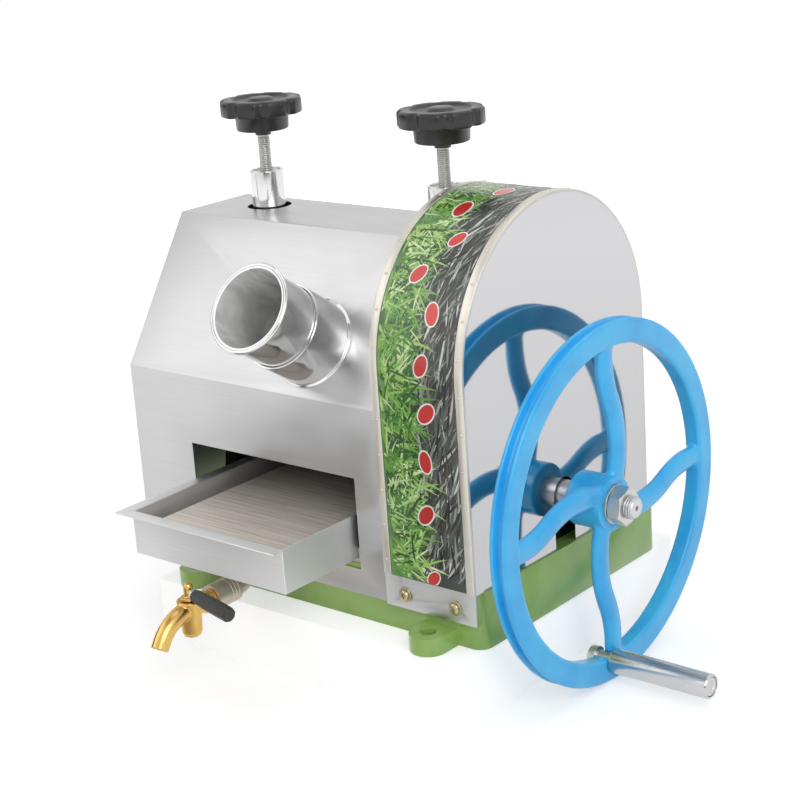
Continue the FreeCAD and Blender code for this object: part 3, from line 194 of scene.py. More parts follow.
def mottled(name, shader_inputs, patches, span, tones, gloss=None, skin=None):
    """A finish of two tones in soft patches. The gloss can follow a noise, given with its two limits,
    and a noise can bump the skin, given with a strength and a distance in millimetres. A noise is its
    scale along X, Y and Z and its detail."""
    tree, shader, place = new_material(name, shader_inputs)
    made = {}

    def field(noise):
        if noise not in made:
            stretched = add_node(tree, "ShaderNodeMapping", {}, {"Vector": place, "Scale": noise[:3]})
            made[noise] = add_node(tree, "ShaderNodeTexNoise", {}, {
                "Vector": stretched, "Scale": 1, "Detail": noise[3]})
        return made[noise]

    share = add_node(tree, "ShaderNodeMapRange", {}, {
        "Value": field(patches), "From Min": span[0], "From Max": span[1]})
    wire(shader, {"Base Color": add_node(tree, "ShaderNodeMix", {"data_type": "RGBA"}, {
        0: share, 6: tones[0], 7: tones[1]})})
    if gloss:
        noise, low, high = gloss
        wire(shader, {"Roughness": add_node(tree, "ShaderNodeMapRange", {}, {
            "Value": field(noise), "From Min": 0.3, "From Max": 0.7, "To Min": low, "To Max": high})})
    if skin:
        noise, strength, depth = skin
        wire(shader, {"Normal": add_node(tree, "ShaderNodeBump", {}, {
            "Height": field(noise), "Strength": strength, "Distance": depth * MM})})


def cast_enamel(name, tint, deep, light):
    """Enamel brushed on a sand casting: even and glossy, with the sand's soft lumps of 3 mm showing
    through and slow changes of tone where the coat is thick or thin."""
    tree, shader, place = new_material(name, {
        "Roughness": 0.32, "Coat Weight": 0.3, "Coat Roughness": 0.1})
    clouds = add_node(tree, "ShaderNodeTexNoise", {}, {"Vector": place, "Scale": 22, "Detail": 3})
    lumps = add_node(tree, "ShaderNodeTexNoise", {}, {"Vector": place, "Scale": 330, "Detail": 2})
    tone = add_node(tree, "ShaderNodeMapRange", {}, {"Value": clouds, "From Min": 0.35, "From Max": 0.65})
    coat = add_node(tree, "ShaderNodeMix", {"data_type": "RGBA"}, {
        0: tone, 6: tone_of(deep), 7: tone_of(light)})
    speck = add_node(tree, "ShaderNodeMapRange", {}, {
        "Value": lumps, "From Min": 0.3, "From Max": 0.75, "To Max": 0.5})
    speckled = add_node(tree, "ShaderNodeMix", {"data_type": "RGBA"}, {0: speck, 6: coat, 7: tone_of(tint)})
    bumps = add_node(tree, "ShaderNodeBump", {}, {"Height": lumps, "Strength": 0.2, "Distance": 0.5 * MM})
    wire(shader, {"Base Color": speckled, "Normal": bumps})


def rolled_stainless(name, tint, shade, roughness, grain):
    """Rolled stainless sheet: a grey mirror broken up by straight grain along one axis. The real lines
    are 0.1 mm apart and drawn 0.8 mm apart, so that they show."""
    across = [1250, 1250, 1250]
    across[grain] = 9
    lines = (*across, 2)
    mottled(name, {"Metallic": 1.0}, lines, (0, 1), (tone_of(tint), tone_of(shade)),
            gloss=((14, 14, 14, 3), roughness * 0.88, roughness * 1.12), skin=(lines, 0.1, 0.02))


def smooth_metal(name, tint, roughness, wear=0.3, scale=60):
    """Turned, plated or polished metal: one colour that darkens a little in its smears, which also
    change its gloss."""
    smears = (scale, scale, scale, 4)
    bright = tone_of(tint)
    dull = tuple(part * 0.86 for part in bright[:3]) + (1.0,)
    mottled(name, {"Metallic": 1.0}, smears, (0, 1), (bright, dull),
            gloss=(smears, roughness * (1 - wear), roughness * (1 + wear)))


def cast_brass(name, tint, stain):
    """Tumbled brass casting: warm, with a soft orange peel of 2 mm and browner hollows."""
    mottled(name, {"Metallic": 1.0, "Roughness": 0.24}, (70, 70, 70, 4), (0.45, 0.75),
            (tone_of(tint), tone_of(stain)), skin=((450, 450, 450, 2), 0.18, 0.4))


def pressed_resin(name, deep, light, roughness):
    """Bakelite or hard plastic from a mould: near black and glossy, with a faint skin of 1 mm and
    greyer patches from handling."""
    patches = (45, 45, 45, 3)
    mottled(name, {"IOR": 1.55}, patches, (0.35, 0.7), (tone_of(deep), tone_of(light)),
            gloss=(patches, roughness * 0.8, roughness * 1.25), skin=((900, 900, 900, 1), 0.08, 0.2))


def blasted_steel(name, deep, light):
    """Stainless blasted dull on the inside of the chute: scatters the light that falls in at the
    mouth, with faint scuffs along it from the canes."""
    mottled(name, {"Metallic": 0.35, "Roughness": 0.5}, (160, 30, 30, 4), (0.35, 0.65),
            (tone_of(deep), tone_of(light)))


def iron_under_oil_and_painted_shade(name, deep, light):
    """Grey iron casting under oil, with a grit of 4 mm. Its near-black tone is partly the oiled iron's own
    and partly painted shade for the dark inside of the machine.
    """
    grit = (260, 260, 260, 4)
    mottled(name, {"Metallic": 0.6, "Roughness": 0.55}, grit, (0.3, 0.7), (tone_of(deep), tone_of(light)),
            skin=(grit, 0.25, 0.4))


def perforated_steel(name, stain):
    """Perforated stainless plate: warm grey with long streaks, and rows of 1 mm holes 3 mm apart drawn as
    faint dark dots."""
    tree, shader, place = new_material(name, {"Metallic": 0.4, "Roughness": 0.55})
    long_way = add_node(tree, "ShaderNodeMapping", {}, {"Vector": place, "Scale": (14, 420, 420)})
    streaks = add_node(tree, "ShaderNodeTexNoise", {}, {"Vector": long_way, "Scale": 1, "Detail": 3})
    plate = add_node(tree, "ShaderNodeValToRGB", {"stops": [
        (0.3, "#C4BBB1"), (0.52, "#DAD1C8"), (0.75, "#EAE3DA")]}, {"Fac": streaks})
    rows = add_node(tree, "ShaderNodeMapping", {}, {"Vector": place, "Scale": (333, 333, 1)})
    holes = add_node(tree, "ShaderNodeTexVoronoi", {}, {"Vector": rows, "Scale": 1, "Randomness": 0.0})
    dots = add_node(tree, "ShaderNodeMapRange", {}, {
        "Value": holes, "From Min": 0.14, "From Max": 0.24, "To Min": 0.35, "To Max": 0.0})
    wire(shader, {"Base Color": add_node(tree, "ShaderNodeMix", {"data_type": "RGBA"}, {
        0: dots, 6: plate, 7: tone_of(stain)})})


LAMINATE = {"Roughness": 0.25, "Coat Weight": 0.4, "Coat Roughness": 0.06}


def laminated_ground(name, *tones):
    """Printed sheet under its plants: leaf green that turns to charcoal across the band, with cloudy
    edges, under a glossy laminate."""
    tree, shader, place = new_material(name, LAMINATE)
    parts = add_node(tree, "ShaderNodeSeparateXYZ", {}, {"Vector": place})
    across = add_node(tree, "ShaderNodeMapRange", {}, {
        "Value": parts.outputs["X"], "From Min": band_low.x, "From Max": band_high.x})
    wisps = add_node(tree, "ShaderNodeMapping", {}, {"Vector": place, "Scale": (60, 25, 25)})
    cloud = add_node(tree, "ShaderNodeTexNoise", {}, {"Vector": wisps, "Scale": 1, "Detail": 5})
    blend = add_node(tree, "ShaderNodeMath", {"operation": "MULTIPLY_ADD"}, {0: cloud, 1: 0.5, 2: across})
    wire(shader, {"Base Color": add_node(tree, "ShaderNodeValToRGB", {
        "stops": list(zip((0.2, 0.5, 0.72, 1.0), tones))}, {"Fac": blend})})


def printed_ink(name, *stops):
    """One ink of the print: each leaf takes its tone from the shade that its instance stored."""
    tree, shader, _ = new_material(name, LAMINATE)
    shade = add_node(tree, "ShaderNodeAttribute", {"attribute_name": "shade"})
    wire(shader, {"Base Color": add_node(tree, "ShaderNodeValToRGB", {"stops": stops}, {
        "Fac": shade.outputs["Fac"]})})


# Each finish is a function with what it takes after its name, and is made when a piece first asks for it.
FINISHES = {
    "green_enamel": (cast_enamel, "green", "#86AA52", "#9ABD67"),
    "blue_enamel": (cast_enamel, "blue", "#22A6EA", "#40C0F7"),
    "satin_stainless": (rolled_stainless, "steel", "#BDBDBD", 0.34, 0),
    "upright_satin_stainless": (rolled_stainless, "steel", "#BDBDBD", 0.34, 2),
    "tray_stainless": (rolled_stainless, "#E2E2E2", "#D2D2D2", 0.5, 0),
    "mirror_stainless": (rolled_stainless, "#BFBFC1", "#BBBBBD", 0.06, 2),
    "strip_stainless": (rolled_stainless, "#DDD9CF", "#C9C4B9", 0.36, 2),
    "polished_stainless": (smooth_metal, "#DCDCDC", 0.11, 0.25),
    "blasted_bore": (blasted_steel, "#C6C6C5", "#EDEDEC"),
    "ground_steel": (smooth_metal, "#CDCDCD", 0.24, 0.2),
    "bright_zinc_plate": (smooth_metal, "#CFCFCB", 0.36, 0.1),
    "yellow_zinc_plate": (smooth_metal, "#C2B997", 0.28),
    "turned_steel": (smooth_metal, "#A9A9A8", 0.26),
    "machined_roller_steel": (smooth_metal, "#8F8F8E", 0.3),
    "blued_spring_steel": (smooth_metal, "#55555A", 0.35),
    "black_pipe_steel": (smooth_metal, "#C6BCAF", 0.4, 0.3, 120),
    "sintered_bronze": (smooth_metal, "#A87B45", 0.4),
    "pressed_bakelite": (pressed_resin, "#0F0F0F", "#1B1B1B", 0.33),
    "moulded_lever_plastic": (pressed_resin, "#1E1E1D", "#33322F", 0.38),
    "tumbled_brass": (cast_brass, "brass", "#CFA763"),
    # Near-black iron: partly the oiled iron's own tone, partly painted shade for the inside of the machine.
    "oiled_black_iron": (iron_under_oil_and_painted_shade, "#121212", "#262524"),
    "stained_perforated_steel": (perforated_steel, "#5A5249"),
    "laminated_print_ground": (laminated_ground, "#5B8A49", "#3E6040", "#34382F", "#3B3D3A"),
    "leaf_green_ink": (printed_ink, (0.0, "#23451F"), (0.25, "#3C742B"), (0.55, "#74A946"),
                       (0.8, "#A4CB70"), (1.0, "#DCEBBB")),
    "reed_grey_ink": (printed_ink, (0.0, "#171916"), (0.4, "#3B3F38"), (0.65, "#6E736A"),
                      (0.85, "#A6AAA2"), (1.0, "#D8DBD4")),
    "berry_red_ink": (printed_ink, (0.0, "#B5231F"), (1.0, "#DE3F33")),
    "berry_white_ink": (printed_ink, (0.0, "#ECEAE4"), (1.0, "#F7F6F2")),
}


def finish(name):
    if name not in bpy.data.materials:
        make, *details = FINISHES[name]
        make(name, *details)
    return bpy.data.materials[name]


def new_piece(name, mesh):
    piece = bpy.data.objects.new(name, mesh)
    bpy.context.scene.collection.objects.link(piece)
    return piece


def dress(piece, body, slot, finish_name, *nodes):
    """Gives a finished piece its material and its body, and hides the nodes that it stands for. The slot is
    not used.
    """
    if finish_name:
        piece.data.materials.clear()
        piece.data.materials.append(finish(finish_name))
    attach(piece, body)
    if nodes:
        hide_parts(*nodes)
    return piece


def refinish(finish_name, *nodes):
    """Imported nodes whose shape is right, with a better material."""
    for node in nodes:
        for holder in frame["nodes"][node].material_slots:
            holder.material = finish(finish_name)


def merged_copy(name, *nodes):
    """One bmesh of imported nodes, with their loose triangles joined and flat areas cleared."""
    build = bmesh.new()
    for node in nodes:
        build.from_mesh(frame["nodes"][node].data)
    bmesh.ops.remove_doubles(build, verts=build.verts, dist=2e-6)
    bmesh.ops.dissolve_limit(build, angle_limit=math.radians(0.5), verts=build.verts, edges=build.edges)
    for face in build.faces:
        face.smooth = True
        face.material_index = 0
    return build


def to_piece(name, build):
    mesh = bpy.data.meshes.new(name)
    build.to_mesh(mesh)
    build.free()
    for attribute in [a.name for a in mesh.color_attributes]:
        mesh.color_attributes.remove(mesh.color_attributes[attribute])
    return new_piece(name, mesh)


def eased(name, nodes, edge, fold=None, hollow=None, broad=6e-4):
    """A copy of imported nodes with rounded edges: cut edges a little, folds between two broad faces
    more, and inner corners by their own size."""
    build = merged_copy(name, *nodes)
    widest = max(edge, fold or 0, hollow or 0)
    weight = build.edges.layers.float.new("bevel_weight_edge")
    for line in build.edges:
        if len(line.link_faces) != 2 or line.calc_face_angle(0) < math.radians(24):
            continue
        size = edge
        narrow = min(face.calc_area() for face in line.link_faces)
        if fold and narrow > broad:
            size = fold
        if not line.is_convex:
            size = hollow or size * 0.5
        line[weight] = size / widest
    piece = to_piece(name, build)
    bevel = piece.modifiers.new("edge", "BEVEL")
    bevel.width = widest
    bevel.segments = 3
    bevel.limit_method = "WEIGHT"
    bevel.harden_normals = True
    return piece


def baked(piece):
    """The piece's evaluated mesh, with its modifiers removed."""
    bpy.context.view_layer.update()
    graph = bpy.context.evaluated_depsgraph_get()
    mesh = bpy.data.meshes.new_from_object(piece.evaluated_get(graph), depsgraph=graph)
    name = piece.name
    bpy.data.objects.remove(piece)
    mesh.name = name
    return new_piece(name, mesh)


def cast_copy(name, nodes, grain, rounds):
    """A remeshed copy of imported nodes, smoothed so that its corners are round like a casting's."""
    piece = to_piece(name, merged_copy(name, *nodes))
    remesh = piece.modifiers.new("grain", "REMESH")
    remesh.mode = "VOXEL"
    remesh.voxel_size = grain
    remesh.use_smooth_shade = True
    smooth = piece.modifiers.new("rounding", "SMOOTH")
    smooth.factor = 0.5
    smooth.iterations = rounds
    return baked(piece)


def turned_piece(name, points, place, segments=96, flat=False):
    """Turns (radius, height) points about Z, and sets the result in its place."""
    build = bmesh.new()
    rings = []
    for radius, height in points:
        count = segments if radius > 1e-7 else 1
        rings.append([build.verts.new((radius * math.cos(2 * math.pi * k / segments),
                                       radius * math.sin(2 * math.pi * k / segments), height))
                      for k in range(count)])
    for low, high in zip(rings, rings[1:]):
        for k in range(segments):
            after = (k + 1) % segments
            corners = [low[k % len(low)], low[after % len(low)],
                       high[after % len(high)], high[k % len(high)]]
            unique = list(dict.fromkeys(corners))
            if len(unique) > 2:
                build.faces.new(unique)
    bmesh.ops.remove_doubles(build, verts=build.verts, dist=1e-7)
    bmesh.ops.recalc_face_normals(build, faces=build.faces)
    for face in build.faces:
        face.smooth = not flat
    build.transform(place)
    piece = to_piece(name, build)
    piece.data.set_sharp_from_angle(angle=math.radians(34))
    return piece


def rounded(points, radius, steps=4):
    """A profile of (radius, height) points in millimetres, in metres and with rounded corners."""
    result = [Vector(points[0]) * MM]
    for before, corner, after in zip(points, points[1:], points[2:]):
        b, c, a = Vector(before), Vector(corner), Vector(after)
        reach = min(radius, (b - c).length * 0.45, (a - c).length * 0.45)
        start, end = c + (b - c).normalized() * reach, c + (a - c).normalized() * reach
        for step in range(steps + 1):
            t = step / steps
            result.append((start * (1 - t) ** 2 + c * 2 * t * (1 - t) + end * t ** 2) * MM)
    result.append(Vector(points[-1]) * MM)
    return [tuple(point) for point in result]


def ring_profile(points, radius, steps=4):
    """A closed profile with rounded corners, which starts and ends in the middle of its last side."""
    middle = tuple((a + b) / 2 for a, b in zip(points[-1], points[0]))
    return rounded([middle] + points + [middle], radius, steps)


def standing(origin, direction=(0, 0, 1)):
    """The matrix that takes Z to a direction, and the origin to a point."""
    turn = Vector((0, 0, 1)).rotation_difference(Vector(direction)).to_matrix().to_4x4()
    return Matrix.Translation(Vector(origin)) @ turn


def carved(piece, other, operation):
    """Applies a boolean with another piece, which is then removed."""
    boolean = piece.modifiers.new("carving", "BOOLEAN")
    boolean.operation = operation
    boolean.solver = "EXACT"
    boolean.object = other
    result = baked(piece)
    bpy.data.objects.remove(other)
    return result


def block(name, low, high, place=None):
    """A closed block between two corners, as a tool for carving."""
    build = bmesh.new()
    bmesh.ops.create_cube(build, size=1.0)
    middle, size = (Vector(low) + Vector(high)) / 2, Vector(high) - Vector(low)
    build.transform(Matrix.Translation(middle) @ Matrix.Diagonal((*size, 1.0)))
    build.transform(place or Matrix.Identity(4))
    return to_piece(name, build)


def new_tree(name, inputs):
    """An empty Geometry Nodes tree with named inputs, and the outputs of its input node."""
    tree = bpy.data.node_groups.new(name, "GeometryNodeTree")
    tree.interface.new_socket("Geometry", in_out="INPUT", socket_type="NodeSocketGeometry")
    for label, kind in inputs.items():
        tree.interface.new_socket(label, in_out="INPUT", socket_type="NodeSocket" + kind)
    tree.interface.new_socket("Geometry", in_out="OUTPUT", socket_type="NodeSocketGeometry")
    return tree, add_node(tree, "NodeGroupInput").outputs


def end_tree(tree, geometry, material):
    """Realizes the instances, sets the material and joins the output."""
    real = add_node(tree, "GeometryNodeRealizeInstances", {}, {"Geometry": geometry})
    inked = add_node(tree, "GeometryNodeSetMaterial", {}, {"Geometry": real, "Material": material})
    add_node(tree, "NodeGroupOutput", {}, {"Geometry": inked})
    return tree


def grown(name, tree, values, start=None):
    """Runs a tree on a mesh and returns the result as a plain piece."""
    piece = new_piece(name, start or bpy.data.meshes.new(name))
    modifier = piece.modifiers.new("grown", "NODES")
    modifier.node_group = tree
    for item in tree.interface.items_tree:
        if item.in_out == "INPUT" and item.name in values:
            modifier[item.identifier] = values[item.name]
    piece.update_tag()
    result = baked(piece)
    if not result.data.polygons:
        raise RuntimeError(f"{name} grew nothing")
    return result


def studs_on_path_tree():
    """Stands a stud at every step along a path over the arch, pointing away from it."""
    tree, given = new_tree("studs_on_path", {"Pitch": "Float", "Stud": "Object", "Material": "Material"})
    path = add_node(tree, "GeometryNodeMeshToCurve", {}, {"Mesh": given["Geometry"]})
    points = add_node(tree, "GeometryNodeCurveToPoints", {"mode": "LENGTH"}, {
        "Curve": path, "Length": given["Pitch"]})
    outward = add_node(tree, "ShaderNodeVectorMath", {"operation": "CROSS_PRODUCT"}, {
        0: (1, 0, 0), 1: points.outputs["Tangent"]})
    turn = add_node(tree, "FunctionNodeAlignRotationToVector", {"axis": "Z"}, {"Vector": outward})
    stud = add_node(tree, "GeometryNodeObjectInfo", {}, {"Object": given["Stud"]})
    placed = add_node(tree, "GeometryNodeInstanceOnPoints", {}, {
        "Points": points, "Instance": stud.outputs["Geometry"], "Rotation": turn})
    return end_tree(tree, placed, given["Material"])


def copies_tree():
    """Puts a copy at each vertex, with its Z along a given direction."""
    tree, given = new_tree("copies_at_places", {
        "Copy": "Object", "Facing": "Vector", "Material": "Material"})
    turn = add_node(tree, "FunctionNodeAlignRotationToVector", {"axis": "Z"}, {"Vector": given["Facing"]})
    copy = add_node(tree, "GeometryNodeObjectInfo", {}, {"Object": given["Copy"]})
    placed = add_node(tree, "GeometryNodeInstanceOnPoints", {}, {
        "Points": given["Geometry"], "Instance": copy.outputs["Geometry"], "Rotation": turn})
    return end_tree(tree, placed, given["Material"])


def thread_tree():
    """A helical thread about Z: a diamond section swept along a spiral."""
    tree, given = new_tree("screw_thread", {
        "Radius": "Float", "Pitch": "Float", "Length": "Float", "Material": "Material"})
    turns = add_node(tree, "ShaderNodeMath", {"operation": "DIVIDE"}, {
        0: given["Length"], 1: given["Pitch"]})
    half = add_node(tree, "ShaderNodeMath", {"operation": "MULTIPLY"}, {0: given["Pitch"], 1: 0.44})
    core = add_node(tree, "ShaderNodeMath", {"operation": "SUBTRACT"}, {0: given["Radius"], 1: half})
    spiral = add_node(tree, "GeometryNodeCurveSpiral", {}, {
        "Resolution": 40, "Rotations": turns, "Start Radius": core, "End Radius": core,
        "Height": given["Length"]})
    level = add_node(tree, "GeometryNodeSetCurveNormal", {"mode": "Z_UP"}, {"Curve": spiral})
    diamond = add_node(tree, "GeometryNodeCurvePrimitiveCircle", {}, {"Resolution": 4, "Radius": half})
    swept = add_node(tree, "GeometryNodeCurveToMesh", {}, {
        "Curve": level, "Profile Curve": diamond, "Fill Caps": True})
    return end_tree(tree, swept, given["Material"])


def plants_tree():
    """Scatters a leaf over a strip of the arch with random turns, sizes, shades and heights of less
    than half a millimetre, lays every leaf round the arch and crops it at the sheet's edges."""
    tree, given = new_tree("plants_on_arch", {
        "Leaf": "Object", "Gap": "Float", "Swing": "Float", "Heading": "Float", "Smallest": "Float",
        "Low": "Float", "High": "Float", "Seed": "Int", "Centre": "Vector", "Radius": "Float",
        "Near Corner": "Vector", "Far Corner": "Vector", "Material": "Material"})
    points = add_node(tree, "GeometryNodeDistributePointsOnFaces", {"distribute_method": "POISSON"}, {
        "Mesh": given["Geometry"], "Distance Min": given["Gap"], "Density Max": 200000,
        "Seed": given["Seed"]})
    least, most = (add_node(tree, "ShaderNodeMath", {"operation": kind}, {
        0: given["Heading"], 1: given["Swing"]}) for kind in ("SUBTRACT", "ADD"))
    angle = add_node(tree, "FunctionNodeRandomValue", {}, {2: least, 3: most, "Seed": 11})
    spin = add_node(tree, "ShaderNodeCombineXYZ", {}, {"Z": angle})
    turned = add_node(tree, "FunctionNodeEulerToRotation", {}, {"Euler": spin})
    facing = add_node(tree, "FunctionNodeRotateRotation", {"rotation_space": "LOCAL"}, {
        "Rotation": points.outputs["Rotation"], "Rotate By": turned})
    size = add_node(tree, "FunctionNodeRandomValue", {}, {2: given["Smallest"], 3: 1.0, "Seed": 12})
    leaf = add_node(tree, "GeometryNodeObjectInfo", {}, {"Object": given["Leaf"]})
    placed = add_node(tree, "GeometryNodeInstanceOnPoints", {}, {
        "Points": points, "Instance": leaf.outputs["Geometry"], "Rotation": facing, "Scale": size})
    for label, low, high, seed in (("shade", 0.0, 1.0, 13), ("lift", given["Low"], given["High"], 14)):
        value = add_node(tree, "FunctionNodeRandomValue", {}, {2: low, 3: high, "Seed": seed})
        placed = add_node(tree, "GeometryNodeStoreNamedAttribute", {"domain": "INSTANCE"}, {
            "Geometry": placed, "Name": label, "Value": value})
    flat = add_node(tree, "GeometryNodeRealizeInstances", {}, {"Geometry": placed})
    place = add_node(tree, "GeometryNodeInputPosition")
    centred = add_node(tree, "ShaderNodeVectorMath", {"operation": "SUBTRACT"}, {
        0: place, 1: given["Centre"]})
    parts = add_node(tree, "ShaderNodeSeparateXYZ", {}, {"Vector": centred})
    above, below = (add_node(tree, "ShaderNodeMath", {"operation": kind}, {0: parts.outputs["Z"], 1: 0.0})
                    for kind in ("MAXIMUM", "MINIMUM"))
    arm = add_node(tree, "ShaderNodeCombineXYZ", {}, {"Y": parts.outputs["Y"], "Z": above})
    unit = add_node(tree, "ShaderNodeVectorMath", {"operation": "NORMALIZE"}, {0: arm})
    height = add_node(tree, "GeometryNodeInputNamedAttribute", {"data_type": "FLOAT"}, {"Name": "lift"})
    reach = add_node(tree, "ShaderNodeMath", {"operation": "ADD"}, {0: given["Radius"], 1: height})
    round_arch = add_node(tree, "ShaderNodeVectorMath", {"operation": "SCALE"}, {0: unit, "Scale": reach})
    straight = add_node(tree, "ShaderNodeCombineXYZ", {}, {"X": parts.outputs["X"], "Z": below})
    joined = add_node(tree, "ShaderNodeVectorMath", {"operation": "ADD"}, {0: round_arch, 1: straight})
    for kind, corner in (("ADD", "Centre"), ("MAXIMUM", "Near Corner"), ("MINIMUM", "Far Corner")):
        joined = add_node(tree, "ShaderNodeVectorMath", {"operation": kind}, {0: joined, 1: given[corner]})
    laid = add_node(tree, "GeometryNodeSetPosition", {}, {"Geometry": flat, "Position": joined})
    return end_tree(tree, laid, given["Material"])


def arch_path(radius, foot, steps=60):
    """Points (y, z) up the front wall, over the arch and down the rear wall."""
    points = [(SHAFT_Y - radius, foot)]
    for step in range(steps + 1):
        angle = math.pi * (1 - step / steps)
        points.append((SHAFT_Y + radius * math.cos(angle), ARCH_Z + radius * math.sin(angle)))
    return points + [(SHAFT_Y + radius, foot)]


class MakeBase(bpy.types.Operator):
    """Hollow cast base with four foot lugs, under green enamel."""
    bl_idname = "juicer.make_base"
    bl_label = "Base"

    def execute(self, context):
        values = context.scene.juicer_castings
        base = eased("base_enamelled", ["base_casting"], edge=values.base_edge, hollow=values.base_fillet)
        dress(base, "frame", "green_casting", "green_enamel", "base_casting")
        return {"FINISHED"}


class MakeCasing(bpy.types.Operator):
    """Folded steel casing: front with slope and top, rear with the outlet, and the left end."""
    bl_idname = "juicer.make_casing"
    bl_label = "Casing"

    def execute(self, context):
        values = context.scene.juicer_sheets
        for name, node, finish_name in (("casing_front", "front_casing", "satin_stainless"),
                                        ("casing_rear", "rear_casing", "satin_stainless"),
                                        ("casing_end", "left_end_panel", "upright_satin_stainless")):
            piece = eased(name, [node], edge=values.cut_edge, fold=values.fold)
            dress(piece, "frame", "brushed_steel", finish_name, node)
        return {"FINISHED"}


class MakeGearCover(bpy.types.Operator):
    """Arched gear cover: band, mirror side panel, partition and the two edge strips."""
    bl_idname = "juicer.make_gear_cover"
    bl_label = "Gear cover"

    def execute(self, context):
        cut_edge = context.scene.juicer_sheets.cut_edge
        band = eased("gear_cover_band", ["arch_band"], edge=cut_edge)
        dress(band, "frame", "brushed_steel", "satin_stainless", "arch_band")
        refinish("mirror_stainless", "arch_side_panel")
        refinish("satin_stainless", "arch_partition")
        for side_name in ("left", "right"):
            strip = eased(f"edge_strip_{side_name}", [side_name + "_rail"], edge=0.35 * MM)
            dress(strip, "frame", "edge_strip", "strip_stainless", side_name + "_rail")
        return {"FINISHED"}


class MakeRivets(bpy.types.Operator):
    """Small rivets along both edge strips, set by Geometry Nodes."""
    bl_idname = "juicer.make_rivets"
    bl_label = "Rivets"

    def execute(self, context):
        values = context.scene.juicer_sheets
        radius = values.rivet_radius
        stud = turned_piece("rivet_head", [(radius, -0.1 * MM), (radius * 0.96, radius * 0.3),
                                           (radius * 0.7, radius * 0.6), (radius * 0.35, radius * 0.74),
                                           (0, radius * 0.78)], Matrix.Identity(4), segments=10)
        tree = studs_on_path_tree()
        for side in ("left", "right"):
            low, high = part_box(side + "_rail")
            points = arch_path((high.y - low.y) / 2, low.z + 14 * MM)
            path = bpy.data.meshes.new("rivet_path")
            path.from_pydata([((low.x + high.x) / 2, y, z) for y, z in points],
                             [(k, k + 1) for k in range(len(points) - 1)], [])
            rivets = grown(f"rivets_{side}", tree, {"Pitch": values.rivet_pitch, "Stud": stud,
                                                    "Material": finish("bright_zinc_plate")}, path)
            dress(rivets, "frame", "zinc_steel", None)
        bpy.data.objects.remove(stud)
        return {"FINISHED"}


class MakePrint(bpy.types.Operator):
    """Laminated plant print over the arch: leaves, reeds and berries scattered by Geometry Nodes."""
    bl_idname = "juicer.make_print"
    bl_label = "Print"

    def leaf(self, name, length, width, tip, bow):
        """A flat bowed leaf along X, widest before its middle, as a strip of short faces."""
        build = bmesh.new()
        rows = []
        for step in range(7):
            t = step / 6
            half = width / 2 * math.sin(math.pi * t ** tip)
            middle = bow * length * t * t
            sides = [middle] if half < 1e-6 else [middle - half, middle + half]
            rows.append([build.verts.new((length * t, side, 0)) for side in sides])
        for row, after in zip(rows, rows[1:]):
            build.faces.new(row + after[::-1])
        return to_piece(name, build)

    def oval(self, name, length, width):
        """A flat oval of two rings, which can bend round the arch."""
        build = bmesh.new()
        centre = build.verts.new((0, 0, 0))
        rings = [[build.verts.new((length * size * math.cos(2 * math.pi * k / 24),
                                   width * size * math.sin(2 * math.pi * k / 24), 0)) for k in range(24)]
                 for size in (0.25, 0.5)]
        for k in range(24):
            after = (k + 1) % 24
            build.faces.new([centre, rings[0][k], rings[0][after]])
            build.faces.new([rings[0][k], rings[1][k], rings[1][after], rings[0][after]])
        return to_piece(name, build)

    def strip(self, low, high):
        """The stretch of the band between two shares of its width, as a mesh to scatter on."""
        width = band_high.x - band_low.x
        left, right = band_low.x + width * low, band_low.x + width * high
        points = arch_path(BAND_RADIUS, band_low.z + 4 * MM)
        mesh = bpy.data.meshes.new("print_strip")
        mesh.from_pydata([(x, y, z) for y, z in points for x in (left, right)], [],
                         [(2 * k, 2 * k + 1, 2 * k + 3, 2 * k + 2) for k in range(len(points) - 1)])
        return mesh

    def execute(self, context):
        values = context.scene.juicer_print
        ground = eased("print_ground", ["printed_band"], edge=0.15 * MM)
        dress(ground, "frame", "printed_sheet", "laminated_print_ground", "printed_band")
        tree = plants_tree()
        long, fruit = values.leaf_length, values.berry_length
        leaf = self.leaf("leaf", long * 0.8, long * 0.16, 0.8, 0.1)
        blade = self.leaf("blade", long * 1.2, long * 0.085, 0.7, -0.16)
        reed = self.leaf("reed", values.reed_length, values.reed_length * 0.075, 0.75, 0.05)
        rim = self.oval("berry_rim", fruit, fruit * 0.68)
        berry = self.oval("berry", fruit * 0.88, fruit * 0.68 - fruit * 0.12)
        leaf_gap, reed_gap, margin = values.leaf_gap, values.reed_gap, 0.8 * MM
        berries = (0.34, 0.66), values.berry_gap, (1.25, 0.5, 0.7)
        # Name, shape, stretch of the width, gap, (heading, swing, least size), ink, heights in millimetres
        rows = [
            ("print_leaves", leaf, (0.0, 0.38), leaf_gap, (0.3, 2.4, 0.4), "leaf_green_ink", 0.05, 0.14),
            ("print_blades", blade, (0.0, 0.42), leaf_gap, (0.5, 1.3, 0.4), "leaf_green_ink", 0.15, 0.24),
            ("print_reeds", reed, (0.44, 0.97), reed_gap, (1.2, 0.5, 0.3), "reed_grey_ink", 0.05, 0.2),
            ("print_berry_rims", rim, *berries, "berry_white_ink", 0.27, 0.28),
            ("print_berries", berry, *berries, "berry_red_ink", 0.34, 0.35)]
        for name, shape, span, gap, (heading, swing, least), ink, low, high in rows:
            layer = grown(name, tree, {
                "Leaf": shape, "Gap": gap, "Swing": swing, "Heading": heading, "Smallest": least,
                "Low": low * MM, "High": high * MM, "Seed": values.seed, "Centre": (0, SHAFT_Y, ARCH_Z),
                "Radius": BAND_RADIUS, "Near Corner": (band_low.x + margin, -1.0, band_low.z + margin),
                "Far Corner": (band_high.x - margin, 1.0, 1.0), "Material": finish(ink)}, self.strip(*span))
            dress(layer, "frame", "printed_sheet", None)
        for shape in (leaf, blade, reed, rim, berry):
            bpy.data.objects.remove(shape)
        return {"FINISHED"}


